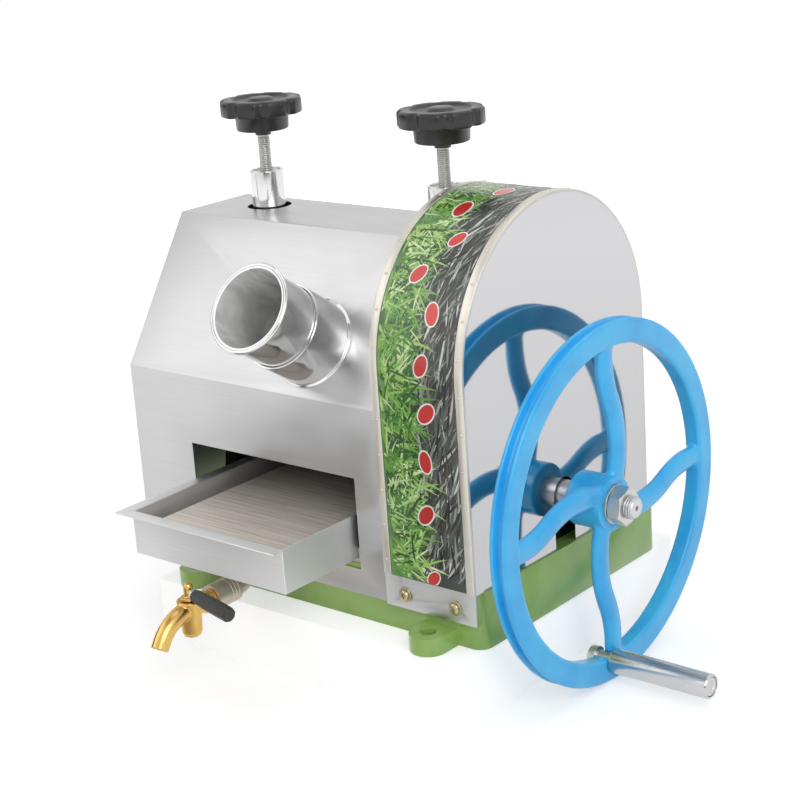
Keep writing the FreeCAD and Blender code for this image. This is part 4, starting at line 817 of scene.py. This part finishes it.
class MakeCoverScrews(bpy.types.Operator):
    """Two pan head screws with a cross recess and wide washers, in the front plate."""
    bl_idname = "juicer.make_cover_screws"
    bl_label = "Cover screws"

    def execute(self, context):
        head = turned_piece("screw_head", rounded([
            (0, -3), (2.8, -3), (2.8, 1.2), (4.8, 1.2), (4.8, 2.4), (3.6, 3.7), (0, 4.0)], 0.9),
            Matrix.Identity(4), segments=48)
        for turn in (0, 90):
            place = Matrix.Rotation(math.radians(turn + 20), 4, "Z")
            slot = block("cross", (-2.6 * MM, -0.5 * MM, 2.3 * MM), (2.6 * MM, 0.5 * MM, 6 * MM), place)
            head = carved(head, slot, "DIFFERENCE")
        washer = turned_piece("screw_washer", ring_profile([
            (3.0, 0), (6.6, 0), (6.6, 1.2), (3.0, 1.2)], 0.35), Matrix.Identity(4), segments=48)
        build = bmesh.new()
        build.from_mesh(head.data)
        build.from_mesh(washer.data)
        bpy.data.objects.remove(head)
        bpy.data.objects.remove(washer)
        screw = to_piece("screw_with_washer", build)
        screw.data.set_sharp_from_angle(angle=math.radians(34))
        low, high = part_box("cover_screws")
        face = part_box("arch_band")[0].y
        spots = bpy.data.meshes.new("screw_spots")
        level = (low.z + high.z) / 2
        spots.from_pydata([(x, face, level) for x in (low.x + 6.6 * MM, high.x - 6.6 * MM)], [], [])
        screws = grown("front_plate_screws", copies_tree(), {
            "Copy": screw, "Facing": (0.0, -1.0, 0.0), "Material": finish("yellow_zinc_plate")}, spots)
        screws.data.set_sharp_from_angle(angle=math.radians(34))
        bpy.data.objects.remove(screw)
        dress(screws, "frame", "zinc_steel", None, "cover_screws")
        return {"FINISHED"}


class MakeChute(bpy.types.Operator):
    """Feed chute: collar with its ring on the slope, and the tube with a rolled mouth."""
    bl_idname = "juicer.make_chute"
    bl_label = "Feed chute"

    def execute(self, context):
        out = Vector(CHUTE["axis"])
        place = standing(Vector(CHUTE["pos_m"]) - out * 60 * MM, out)
        collar = turned_piece("chute_collar_tube", ring_profile([
            (37.1, -58), (38.9, -58), (38.9, -0.5), (41.2, -0.5), (41.2, 1.2), (38.9, 2.6), (38.9, 46),
            (37.1, 46)], 0.5), place, segments=160)
        dress(collar, "frame", "chrome", "polished_stainless", "chute_collar")
        bead = [(38.7 + 2.1 * math.cos(math.radians(angle)), 89 + 2.1 * math.sin(math.radians(angle)))
                for angle in range(-140, 141, 14)]
        points = [(35.5, 28), (37, 28), (37, 86.6)] + bead + [(35.5, 90.4)]
        tube = turned_piece("chute_mouth_tube", ring_profile(points, 0.3, 2), place, segments=160)
        dress(tube, "frame", "chrome", "polished_stainless", "chute_tube")
        upright = place.inverted()
        for piece in (collar, tube):
            piece.data.materials.append(finish("blasted_bore"))
            for face in piece.data.polygons:
                from_axis = (upright @ face.center).xy
                facing = (upright.to_3x3() @ face.normal).xy
                face.material_index = 1 if facing.dot(from_axis) < -0.5 * from_axis.length else 0
        refinish("satin_stainless", "rear_guide", "trash_plate")
        return {"FINISHED"}


class MakePosts(bpy.types.Operator):
    """Both pressure screws: polished sleeve, nut, screw with a helical thread, springs and seat."""
    bl_idname = "juicer.make_posts"
    bl_label = "Pressure screws"

    def execute(self, context):
        pitch = context.scene.juicer_fittings.press_pitch
        tree = thread_tree()
        for side in ("left", "right"):
            low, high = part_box(side + "_sleeve")
            x, y = (low.x + high.x) / 2, (low.y + high.y) / 2
            place = standing((x, y, 0))
            top = high.z / MM
            sleeve = turned_piece(f"post_sleeve_{side}", ring_profile([
                (13, low.z / MM), (16, low.z / MM), (16, top), (13, top)], 0.7), place)
            dress(sleeve, "frame", "chrome", "polished_stainless", side + "_sleeve")
            nut = turned_piece(f"post_nut_{side}", ring_profile([
                (6.1, top - 16), (13, top - 16), (13, top - 2), (6.1, top - 2)], 0.6), place)
            dress(nut, "frame", "zinc_steel", "turned_steel", side + "_screw_nut")
            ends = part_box(side + "_pressure_screw")
            low_end, high_end = ends[0].z / MM, ends[1].z / MM
            core = turned_piece(f"press_screw_{side}", rounded([
                (0, low_end), (5, low_end), (5.9, low_end + 1), (5.9, 340), (5.2, 341), (5.2, 391),
                (5.9, 392), (5.9, high_end), (0, high_end)], 0.2), place)
            dress(core, side + "_screw", "zinc_steel", "bright_zinc_plate", side + "_pressure_screw")
            thread = grown(f"press_thread_{side}", tree, {
                "Radius": 6 * MM, "Pitch": pitch, "Length": 50 * MM,
                "Material": finish("bright_zinc_plate")})
            thread.data.transform(standing((x, y, 341 * MM)))
            dress(thread, side + "_screw", "zinc_steel", None)
        refinish("blued_spring_steel", "left_disc_springs", "right_disc_springs")
        refinish("bright_zinc_plate", "left_spring_seat", "right_spring_seat")
        return {"FINISHED"}


class MakeKnobs(bpy.types.Operator):
    """Two lobed bakelite knobs with a tapered hub and a dished top."""
    bl_idname = "juicer.make_knobs"
    bl_label = "Knobs"

    def outline(self, angle, inset):
        """Radius in millimetres of the lobed flange at an angle: eight shallow hollows in a round edge."""
        flange, hollow_place, hollow_radius = 38.5, 43.3, 8
        step = math.radians(45)
        away = abs((angle + step / 2) % step - step / 2)
        chord = math.sqrt(max(hollow_radius ** 2 - (hollow_place * math.sin(away)) ** 2, 0.0))
        dip = min(hollow_place * math.cos(away) - chord, flange)
        depth = 0.4 + 0.6 * math.exp(-(away / math.radians(9.0)) ** 4)
        return flange + (dip - flange) * depth - inset

    def execute(self, context):
        count = 192
        for side in ("left", "right"):
            low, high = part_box(side + "_knob")
            x, y = (low.x + high.x) / 2, (low.y + high.y) / 2
            base = low.z / MM + 5
            seam = base + 14.5
            rings = [(6.0, base + 12, 0), (6.0, base - 5, 0), (7.5, base - 5, 0), (7.5, base, 0),
                     (22.9, base, 0), (24.1, base + 0.5, 0), (24.5, base + 1.6, 0), (25.2, seam - 0.8, 0),
                     (26.0, seam, 0), (1.8, seam, 1), (0.5, seam + 0.5, 1), (0, seam + 1.8, 1),
                     (0, seam + 11.6, 1), (0.5, seam + 13.4, 1), (1.8, seam + 14.6, 1), (3.8, seam + 15, 1),
                     (28.5, seam + 15, 0), (27.3, seam + 14.6, 0), (26.4, seam + 13.2, 0),
                     (24.5, seam + 12.6, 0), (15.0, seam + 12.4, 0), (12.8, seam + 12.8, 0),
                     (11.4, seam + 14.6, 0), (9.5, seam + 15.4, 0), (5.0, seam + 15.7, 0)]
            build = bmesh.new()
            loops = []
            for size, level, lobed in rings:
                loop = []
                for k in range(count):
                    angle = 2 * math.pi * k / count
                    radius = self.outline(angle, size) if lobed else size
                    loop.append(build.verts.new((
                        radius * math.cos(angle) * MM, radius * math.sin(angle) * MM, level * MM)))
                loops.append(loop)
            for lower, upper in zip(loops, loops[1:]):
                for k in range(count):
                    after = (k + 1) % count
                    build.faces.new([lower[k], lower[after], upper[after], upper[k]])
            build.faces.new(loops[0])
            build.faces.new(loops[-1])
            bmesh.ops.recalc_face_normals(build, faces=build.faces)
            for face in build.faces:
                face.smooth = True
            build.transform(standing((x, y, 0)))
            knob = to_piece(f"knob_lobed_{side}", build)
            knob.data.set_sharp_from_angle(angle=math.radians(50))
            dress(knob, side + "_screw", "black_bakelite", "pressed_bakelite", side + "_knob")
        return {"FINISHED"}


class MakeWheel(bpy.types.Operator):
    """Cast hand wheel: grooved rim, hub and four bowed spokes with a casting's fillets."""
    bl_idname = "juicer.make_wheel"
    bl_label = "Hand wheel"

    def execute(self, context):
        wheel = cast_copy("wheel_casting", ["hand_wheel"], context.scene.juicer_castings.wheel_grain, 4)
        group = wheel.vertex_groups.new(name="spoke_roots")
        for vertex in wheel.data.vertices:
            radius = math.hypot(vertex.co.y - SHAFT_Y, vertex.co.z - SHAFT_Z) / MM
            near_hub = 25.0 < radius < 37
            near_rim = 121 < radius < 137.4
            if near_hub or near_rim:
                group.add([vertex.index], 1.0, "REPLACE")
        fillet = wheel.modifiers.new("fillet", "SMOOTH")
        fillet.factor = 0.5
        fillet.iterations = 22
        fillet.vertex_group = "spoke_roots"
        wheel = baked(wheel)
        dress(wheel, "hand_wheel", "blue_wheel", "blue_enamel", "hand_wheel")
        face = turned_piece("wheel_hub_face", ring_profile([
            (11, HUB_FACE - 10), (24, HUB_FACE - 10), (24, HUB_FACE), (11, HUB_FACE)], 0.9),
            standing((0, SHAFT_Y, SHAFT_Z), (1, 0, 0)))
        dress(face, "hand_wheel", "blue_wheel", "blue_enamel")
        return {"FINISHED"}


class MakeWheelFittings(bpy.types.Operator):
    """Washer, chamfered nut, threaded shaft end and key of the hand wheel."""
    bl_idname = "juicer.make_wheel_fittings"
    bl_label = "Wheel fittings"

    def execute(self, context):
        pitch = context.scene.juicer_fittings.shaft_pitch
        place = standing((0, SHAFT_Y, SHAFT_Z), (1, 0, 0))
        end = shaft_high.x / MM
        washer = turned_piece("wheel_washer_disc", ring_profile([
            (10.2, HUB_FACE), (17, HUB_FACE), (17, WASHER_FACE), (10.2, WASHER_FACE)], 0.4), place)
        dress(washer, "hand_wheel", "zinc_steel", "bright_zinc_plate", "wheel_washer")
        build = bmesh.new()
        reach = 15 / math.cos(math.radians(30)) * MM
        turns = [math.radians(60 * k + 20) for k in range(6)]
        lower, upper = ([build.verts.new((
            face * MM, SHAFT_Y + reach * math.cos(turn), SHAFT_Z + reach * math.sin(turn)))
            for turn in turns] for face in (WASHER_FACE, NUT_FACE))
        build.faces.new(lower)
        build.faces.new(upper)
        for k in range(6):
            build.faces.new([lower[k], lower[(k + 1) % 6], upper[(k + 1) % 6], upper[k]])
        bmesh.ops.recalc_face_normals(build, faces=build.faces)
        hexagon = to_piece("nut_hexagon", build)
        envelope = turned_piece("nut_envelope", [(radius * MM, x * MM) for radius, x in [
            (9.9, WASHER_FACE), (14.4, WASHER_FACE), (17.5, WASHER_FACE + 1.8), (17.5, NUT_FACE - 1.8),
            (14.4, NUT_FACE), (9.9, NUT_FACE), (9.9, WASHER_FACE)]], place)
        nut = carved(hexagon, envelope, "INTERSECT")
        for face in nut.data.polygons:
            face.use_smooth = True
        nut.data.set_sharp_from_angle(angle=math.radians(14))
        dress(nut, "hand_wheel", "zinc_steel", "bright_zinc_plate", "wheel_nut")
        shaft = turned_piece("wheel_shaft", rounded([
            (0, shaft_low.x / MM), (12.5, shaft_low.x / MM), (12.5, 197), (11, 197), (11, 230), (8.9, 230),
            (8.9, end - 1.2), (8, end), (2.2, end), (1.8, end - 4), (0, end - 5)], 0.3), place)
        dress(shaft, "hand_wheel", "turned_steel", "turned_steel", "drive_shaft")
        thread = grown("wheel_shaft_thread", thread_tree(), {
            "Radius": 10 * MM, "Pitch": pitch, "Length": 22 * MM, "Material": finish("turned_steel")})
        thread.data.transform(standing(((end - 23.4) * MM, SHAFT_Y, SHAFT_Z), (1, 0, 0)))
        dress(thread, "hand_wheel", "turned_steel", None)
        refinish("turned_steel", "wheel_key")
        return {"FINISHED"}


class MakeGrip(bpy.types.Operator):
    """Crank spindle and the steel grip that turns on it."""
    bl_idname = "juicer.make_grip"
    bl_label = "Crank grip"

    def execute(self, context):
        low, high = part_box("crank_grip")
        place = standing((0, (low.y + high.y) / 2, (low.z + high.z) / 2), (1, 0, 0))
        start, end = low.x / MM, high.x / MM
        grip = turned_piece("grip_tube", ring_profile([
            (6.1, start), (10.4, start), (11, start + 0.8), (11, end - 1.4), (10, end), (8.7, end),
            (8.7, end - 4), (6.1, end - 4)], 0.5), place)
        dress(grip, "crank_grip", "chrome", "ground_steel", "crank_grip")
        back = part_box("crank_spindle")[0].x / MM
        spindle = turned_piece("grip_spindle", rounded([
            (0, back), (9, back), (9, back + 7), (6, back + 7), (6, end - 3.5), (8.2, end - 3.5),
            (8.2, end - 0.5), (5, end - 0.4), (4.4, end - 1.3), (0, end - 1.5)], 0.4), place)
        dress(spindle, "hand_wheel", "zinc_steel", "bright_zinc_plate", "crank_spindle")
        return {"FINISHED"}


class MakeTray(bpy.types.Operator):
    """Folded juice tray, its runners and the perforated strainer plate."""
    bl_idname = "juicer.make_tray"
    bl_label = "Juice tray"

    def execute(self, context):
        values = context.scene.juicer_sheets
        tray = eased("tray_folded", ["juice_tray"], edge=values.cut_edge, fold=values.fold * 0.8)
        dress(tray, "tray", "brushed_steel", "tray_stainless", "juice_tray")
        strainer = eased("strainer_plate_folded", ["strainer_plate"], edge=values.cut_edge, fold=0.9 * MM)
        dress(strainer, "tray", "strainer_steel", "stained_perforated_steel", "strainer_plate")
        refinish("satin_stainless", "tray_runners")
        return {"FINISHED"}


class MakeTap(bpy.types.Operator):
    """Pipe, brass plug tap with a bent spout, and its black lever."""
    bl_idname = "juicer.make_tap"
    bl_label = "Tap"

    def execute(self, context):
        body = cast_copy("tap_casting", ["tap_body", "tap_cap"], 0.55 * MM, 5)
        dress(body, "tray", "brass", "tumbled_brass", "tap_body", "tap_cap")
        plug = cast_copy("tap_plug_casting", ["tap_plug"], 0.45 * MM, 3)
        dress(plug, "tap", "brass", "tumbled_brass", "tap_plug")
        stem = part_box("tap_cap")
        root = Vector(((stem[0].x + stem[1].x) / 2, (stem[0].y + stem[1].y) / 2, 35.5 * MM))
        along = Vector((59, -9, -5)).normalized()
        place = standing(root, along)
        lever = turned_piece("tap_lever_sleeve", [(radius * MM, level * MM) for radius, level in [
            (0, 9.5), (5.6, 9.5), (6.0, 10.3), (6.8, 28), (7.0, 50), (6.9, 58.6), (6.1, 60), (0, 60)]],
            place, segments=8, flat=True)
        lever.data.set_sharp_from_angle(angle=math.radians(180))
        edge = lever.modifiers.new("edge", "BEVEL")
        edge.width = 0.7 * MM
        edge.segments = 3
        edge.angle_limit = math.radians(20)
        edge.harden_normals = True
        dress(lever, "tap", "black_plastic", "moulded_lever_plastic", "tap_lever")
        ring = turned_piece("tap_lever_ring", ring_profile([
            (3.0, 7.2), (5.4, 7.2), (5.4, 9.4), (3.0, 9.4)], 0.5), place, segments=48)
        dress(ring, "tap", "zinc_steel", "bright_zinc_plate")
        refinish("black_pipe_steel", "drain_elbow", "pipe_coupling")
        return {"FINISHED"}


class MakeWorks(bpy.types.Operator):
    """Finishes of the rollers, gears, cheeks and bearings inside the casing."""
    bl_idname = "juicer.make_works"
    bl_label = "Rollers and gears"

    def execute(self, context):
        refinish("machined_roller_steel", "top_roller", "front_roller", "rear_roller")
        # The cheeks, brackets, bearing blocks and gears are near-black: partly oiled iron, partly painted
        # shade for the dark inside of the casing.
        refinish("oiled_black_iron", "left_cheek", "right_cheek", "bearing_bracket", "left_bearing_block",
                 "right_bearing_block", "drive_gear", "drive_pinion", "top_roller_gear",
                 "front_roller_gear", "rear_roller_gear")
        refinish("sintered_bronze", "roller_bushes", "shaft_bushes")
        refinish("bright_zinc_plate", "tie_rods", "bracket_bolts")
        return {"FINISHED"}


class MakeStage(bpy.types.Operator):
    """White floor and plinth, soft lights, white world and the camera."""
    bl_idname = "juicer.make_stage"
    bl_label = "Stage"

    def white_ground(self, backdrop):
        """Matt white paint that keeps shadows, and glows a little for the camera and for reflections, more
        so far out, where the lamps are weak.
        For reflections only, a strip in front is painted dark grey without the glow: painted shade that
        gives the front of the casing a darker reflection."""
        material = bpy.data.materials.new("white_stage")
        material.use_nodes = True
        tree = material.node_tree
        tree.nodes.clear()
        rays = add_node(tree, "ShaderNodeLightPath").outputs
        seen = rays["Is Camera Ray"]
        for kind in ("Is Glossy Ray", "Is Transmission Ray"):
            seen = add_node(tree, "ShaderNodeMath", {"operation": "MAXIMUM"}, {0: seen, 1: rays[kind]})
        place = add_node(tree, "ShaderNodeTexCoord").outputs["Object"]
        away = add_node(tree, "ShaderNodeVectorMath", {"operation": "LENGTH"}, {0: place})
        glow = add_node(tree, "ShaderNodeMapRange", {}, {
            "Value": away, "From Min": 0.4, "From Max": 1.8, "To Min": 0.45, "To Max": 0.75})
        across = add_node(tree, "ShaderNodeVectorMath", {"operation": "DOT_PRODUCT"}, {
            0: place, 1: (0.72, -0.62, 0.0)})
        offset = add_node(tree, "ShaderNodeMath", {"operation": "SUBTRACT"}, {0: across, 1: 0.17})
        aside = add_node(tree, "ShaderNodeMath", {"operation": "ABSOLUTE"}, {0: offset})
        depth = add_node(tree, "ShaderNodeSeparateXYZ", {}, {"Vector": place}).outputs["Y"]
        # Painted shade: glossy rays inside the strip in front see dark grey paint and no glow, a painted
        # darker reflection on the front of the casing.
        lit = add_node(tree, "ShaderNodeMath", {"operation": "SUBTRACT"}, {
            0: 1.0, 1: rays["Is Glossy Ray"]})
        for value, near, far in ((aside, 0.02, 0.18), (depth, -0.42, -0.2)):
            outside = add_node(tree, "ShaderNodeMapRange", {"interpolation_type": "SMOOTHSTEP"}, {
                "Value": value, "From Min": near, "From Max": far})
            lit = add_node(tree, "ShaderNodeMath", {"operation": "MAXIMUM"}, {0: lit, 1: outside})
        level = add_node(tree, "ShaderNodeMath", {"operation": "MULTIPLY"}, {0: glow, 1: seen})
        bright = add_node(tree, "ShaderNodeMath", {"operation": "MULTIPLY"}, {0: level, 1: lit})
        # 7A7A7A is the painted shade of that strip, #E4E4E4 the white paint elsewhere.
        tone = add_node(tree, "ShaderNodeMix", {"data_type": "RGBA"}, {
            0: lit, 6: hex_linear("#7A7A7A"), 7: hex_linear("#E4E4E4")})
        paint = add_node(tree, "ShaderNodeBsdfDiffuse", {}, {"Color": tone})
        light = add_node(tree, "ShaderNodeEmission", {}, {"Color": tuple(backdrop), "Strength": bright})
        both = add_node(tree, "ShaderNodeAddShader", {}, {0: paint, 1: light})
        add_node(tree, "ShaderNodeOutputMaterial", {}, {"Surface": both})
        return material

    def soft_light(self, name, spot, side, power):
        """A square area lamp that points at the middle of the machine."""
        light = bpy.data.lights.new(name, "AREA")
        light.shape = "RECTANGLE"
        light.size = light.size_y = side
        light.energy = power
        lamp = bpy.data.objects.new(name, light)
        lamp.location = spot
        lamp.rotation_euler = (Vector((0, 0, 0.15)) - Vector(spot)).to_track_quat("-Z", "Y").to_euler()
        bpy.context.scene.collection.objects.link(lamp)

    def white_world(self, backdrop):
        """White for the camera. Reflections also see the studio's darker ceiling and the dark room in
        front and to the left of the object, and matt surfaces are lit by a soft half of it."""
        world = bpy.data.worlds.new("studio")
        bpy.context.scene.world = world
        world.use_nodes = True
        tree = world.node_tree
        tree.nodes.clear()
        rays = add_node(tree, "ShaderNodeLightPath").outputs
        way = add_node(tree, "ShaderNodeTexCoord").outputs["Generated"]
        height = add_node(tree, "ShaderNodeSeparateXYZ", {}, {"Vector": way}).outputs["Z"]
        studio = add_node(tree, "ShaderNodeMapRange", {"interpolation_type": "SMOOTHSTEP"}, {
            "Value": height, "From Min": 0.84, "From Max": 0.96, "To Min": 1.0, "To Max": 0.35})
        for direction in ((0.65, -0.76, 0.0), (-0.97, -0.24, 0.0)):
            aim = add_node(tree, "ShaderNodeVectorMath", {"operation": "DOT_PRODUCT"}, {
                0: way, 1: direction})
            gap = add_node(tree, "ShaderNodeMapRange", {"interpolation_type": "SMOOTHSTEP"}, {
                "Value": aim, "From Min": 0.9, "From Max": 0.97, "To Min": 1.0, "To Max": 0.1})
            studio = add_node(tree, "ShaderNodeMath", {"operation": "MULTIPLY"}, {0: studio, 1: gap})
        level = add_node(tree, "ShaderNodeMix", {"data_type": "FLOAT"}, {
            0: rays["Is Glossy Ray"], 2: 0.5, 3: studio})
        for kind in ("Is Camera Ray", "Is Transmission Ray"):
            level = add_node(tree, "ShaderNodeMath", {"operation": "MAXIMUM"}, {0: level, 1: rays[kind]})
        light = add_node(tree, "ShaderNodeBackground", {}, {"Color": tuple(backdrop), "Strength": level})
        add_node(tree, "ShaderNodeOutputWorld", {}, {"Surface": light})

    def camera(self, lens):
        """The photograph's view: turned 40.7 degrees, looking down 17.4, rolled by -4."""
        yaw, pitch, roll = math.radians(40.69), math.radians(17.36), math.radians(-3.96)
        away = math.cos(pitch)
        ahead = Vector((-math.sin(yaw) * away, math.cos(yaw) * away, -math.sin(pitch)))
        level = Vector((math.cos(yaw), math.sin(yaw), 0))
        above = level.cross(ahead)
        right = level * math.cos(roll) + above * math.sin(roll)
        up = above * math.cos(roll) - level * math.sin(roll)
        data = bpy.data.cameras.new("photo_view")
        data.lens = lens
        data.sensor_width = 36
        data.clip_start, data.clip_end = 0.05, 50
        view = bpy.data.objects.new("photo_view", data)
        turn = Matrix((right, up, -ahead)).transposed().to_4x4()
        view.matrix_world = Matrix.Translation((1.0513, -1.2314, 0.6622)) @ turn
        bpy.context.scene.collection.objects.link(view)
        bpy.context.scene.camera = view

    def execute(self, context):
        values = context.scene.juicer_stage
        white = self.white_ground(values.backdrop)
        ground = cad_low.z - 0.5 * MM
        floor = block("stage_floor", (-6, -6, ground - 0.02), (6, 6, ground))
        low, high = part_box("base_casting")
        inset = 4 * MM
        plinth = block("stage_plinth", (low.x + inset, low.y + inset, ground),
                       (high.x - inset, high.y - inset, 0))
        for piece in (floor, plinth):
            piece.data.materials.append(white)
        self.soft_light("key", (2.6, -1.9, 2.2), side=2.2, power=52)
        self.soft_light("fill", (-2.3, -2.2, 1.9), side=2.6, power=15)
        self.soft_light("top", (0.0, 0.6, 3.2), side=2.5, power=20)
        self.white_world(values.backdrop)
        self.camera(values.lens)
        context.scene.view_settings.view_transform = "Standard"
        return {"FINISHED"}


PIECES = [MakeStage, MakeBase, MakeCasing, MakeGearCover, MakeRivets, MakePrint, MakeCoverScrews, MakeChute,
          MakePosts, MakeKnobs, MakeWheel, MakeWheelFittings, MakeGrip, MakeTray, MakeTap, MakeWorks]


class JuicerPanel(bpy.types.Panel):
    """Lists the steps that dress the juicer."""
    bl_idname = "VIEW3D_PT_juicer"
    bl_label = "Juicer"
    bl_space_type = "VIEW_3D"
    bl_region_type = "UI"
    bl_category = "Juicer"

    def draw(self, context):
        for piece in PIECES:
            self.layout.operator(piece.bl_idname)


SETTINGS = {
    "juicer_castings": CastingSettings,
    "juicer_sheets": SheetSettings,
    "juicer_print": PrintSettings,
    "juicer_fittings": FittingSettings,
    "juicer_stage": StageSettings,
}


def register():
    for kind in list(SETTINGS.values()) + PIECES + [JuicerPanel]:
        bpy.utils.register_class(kind)
    for name, kind in SETTINGS.items():
        setattr(bpy.types.Scene, name, PointerProperty(type=kind))


def unregister():
    for name in SETTINGS:
        delattr(bpy.types.Scene, name)
    for kind in [JuicerPanel] + PIECES[::-1] + list(SETTINGS.values()):
        bpy.utils.unregister_class(kind)


def main():
    register()
    for piece in PIECES:
        step = getattr(bpy.ops.juicer, piece.bl_idname.split(".")[1])
        if step() != {"FINISHED"}:
            raise RuntimeError(f"{piece.bl_label} did not finish")


if __name__ == "__main__":
    main()
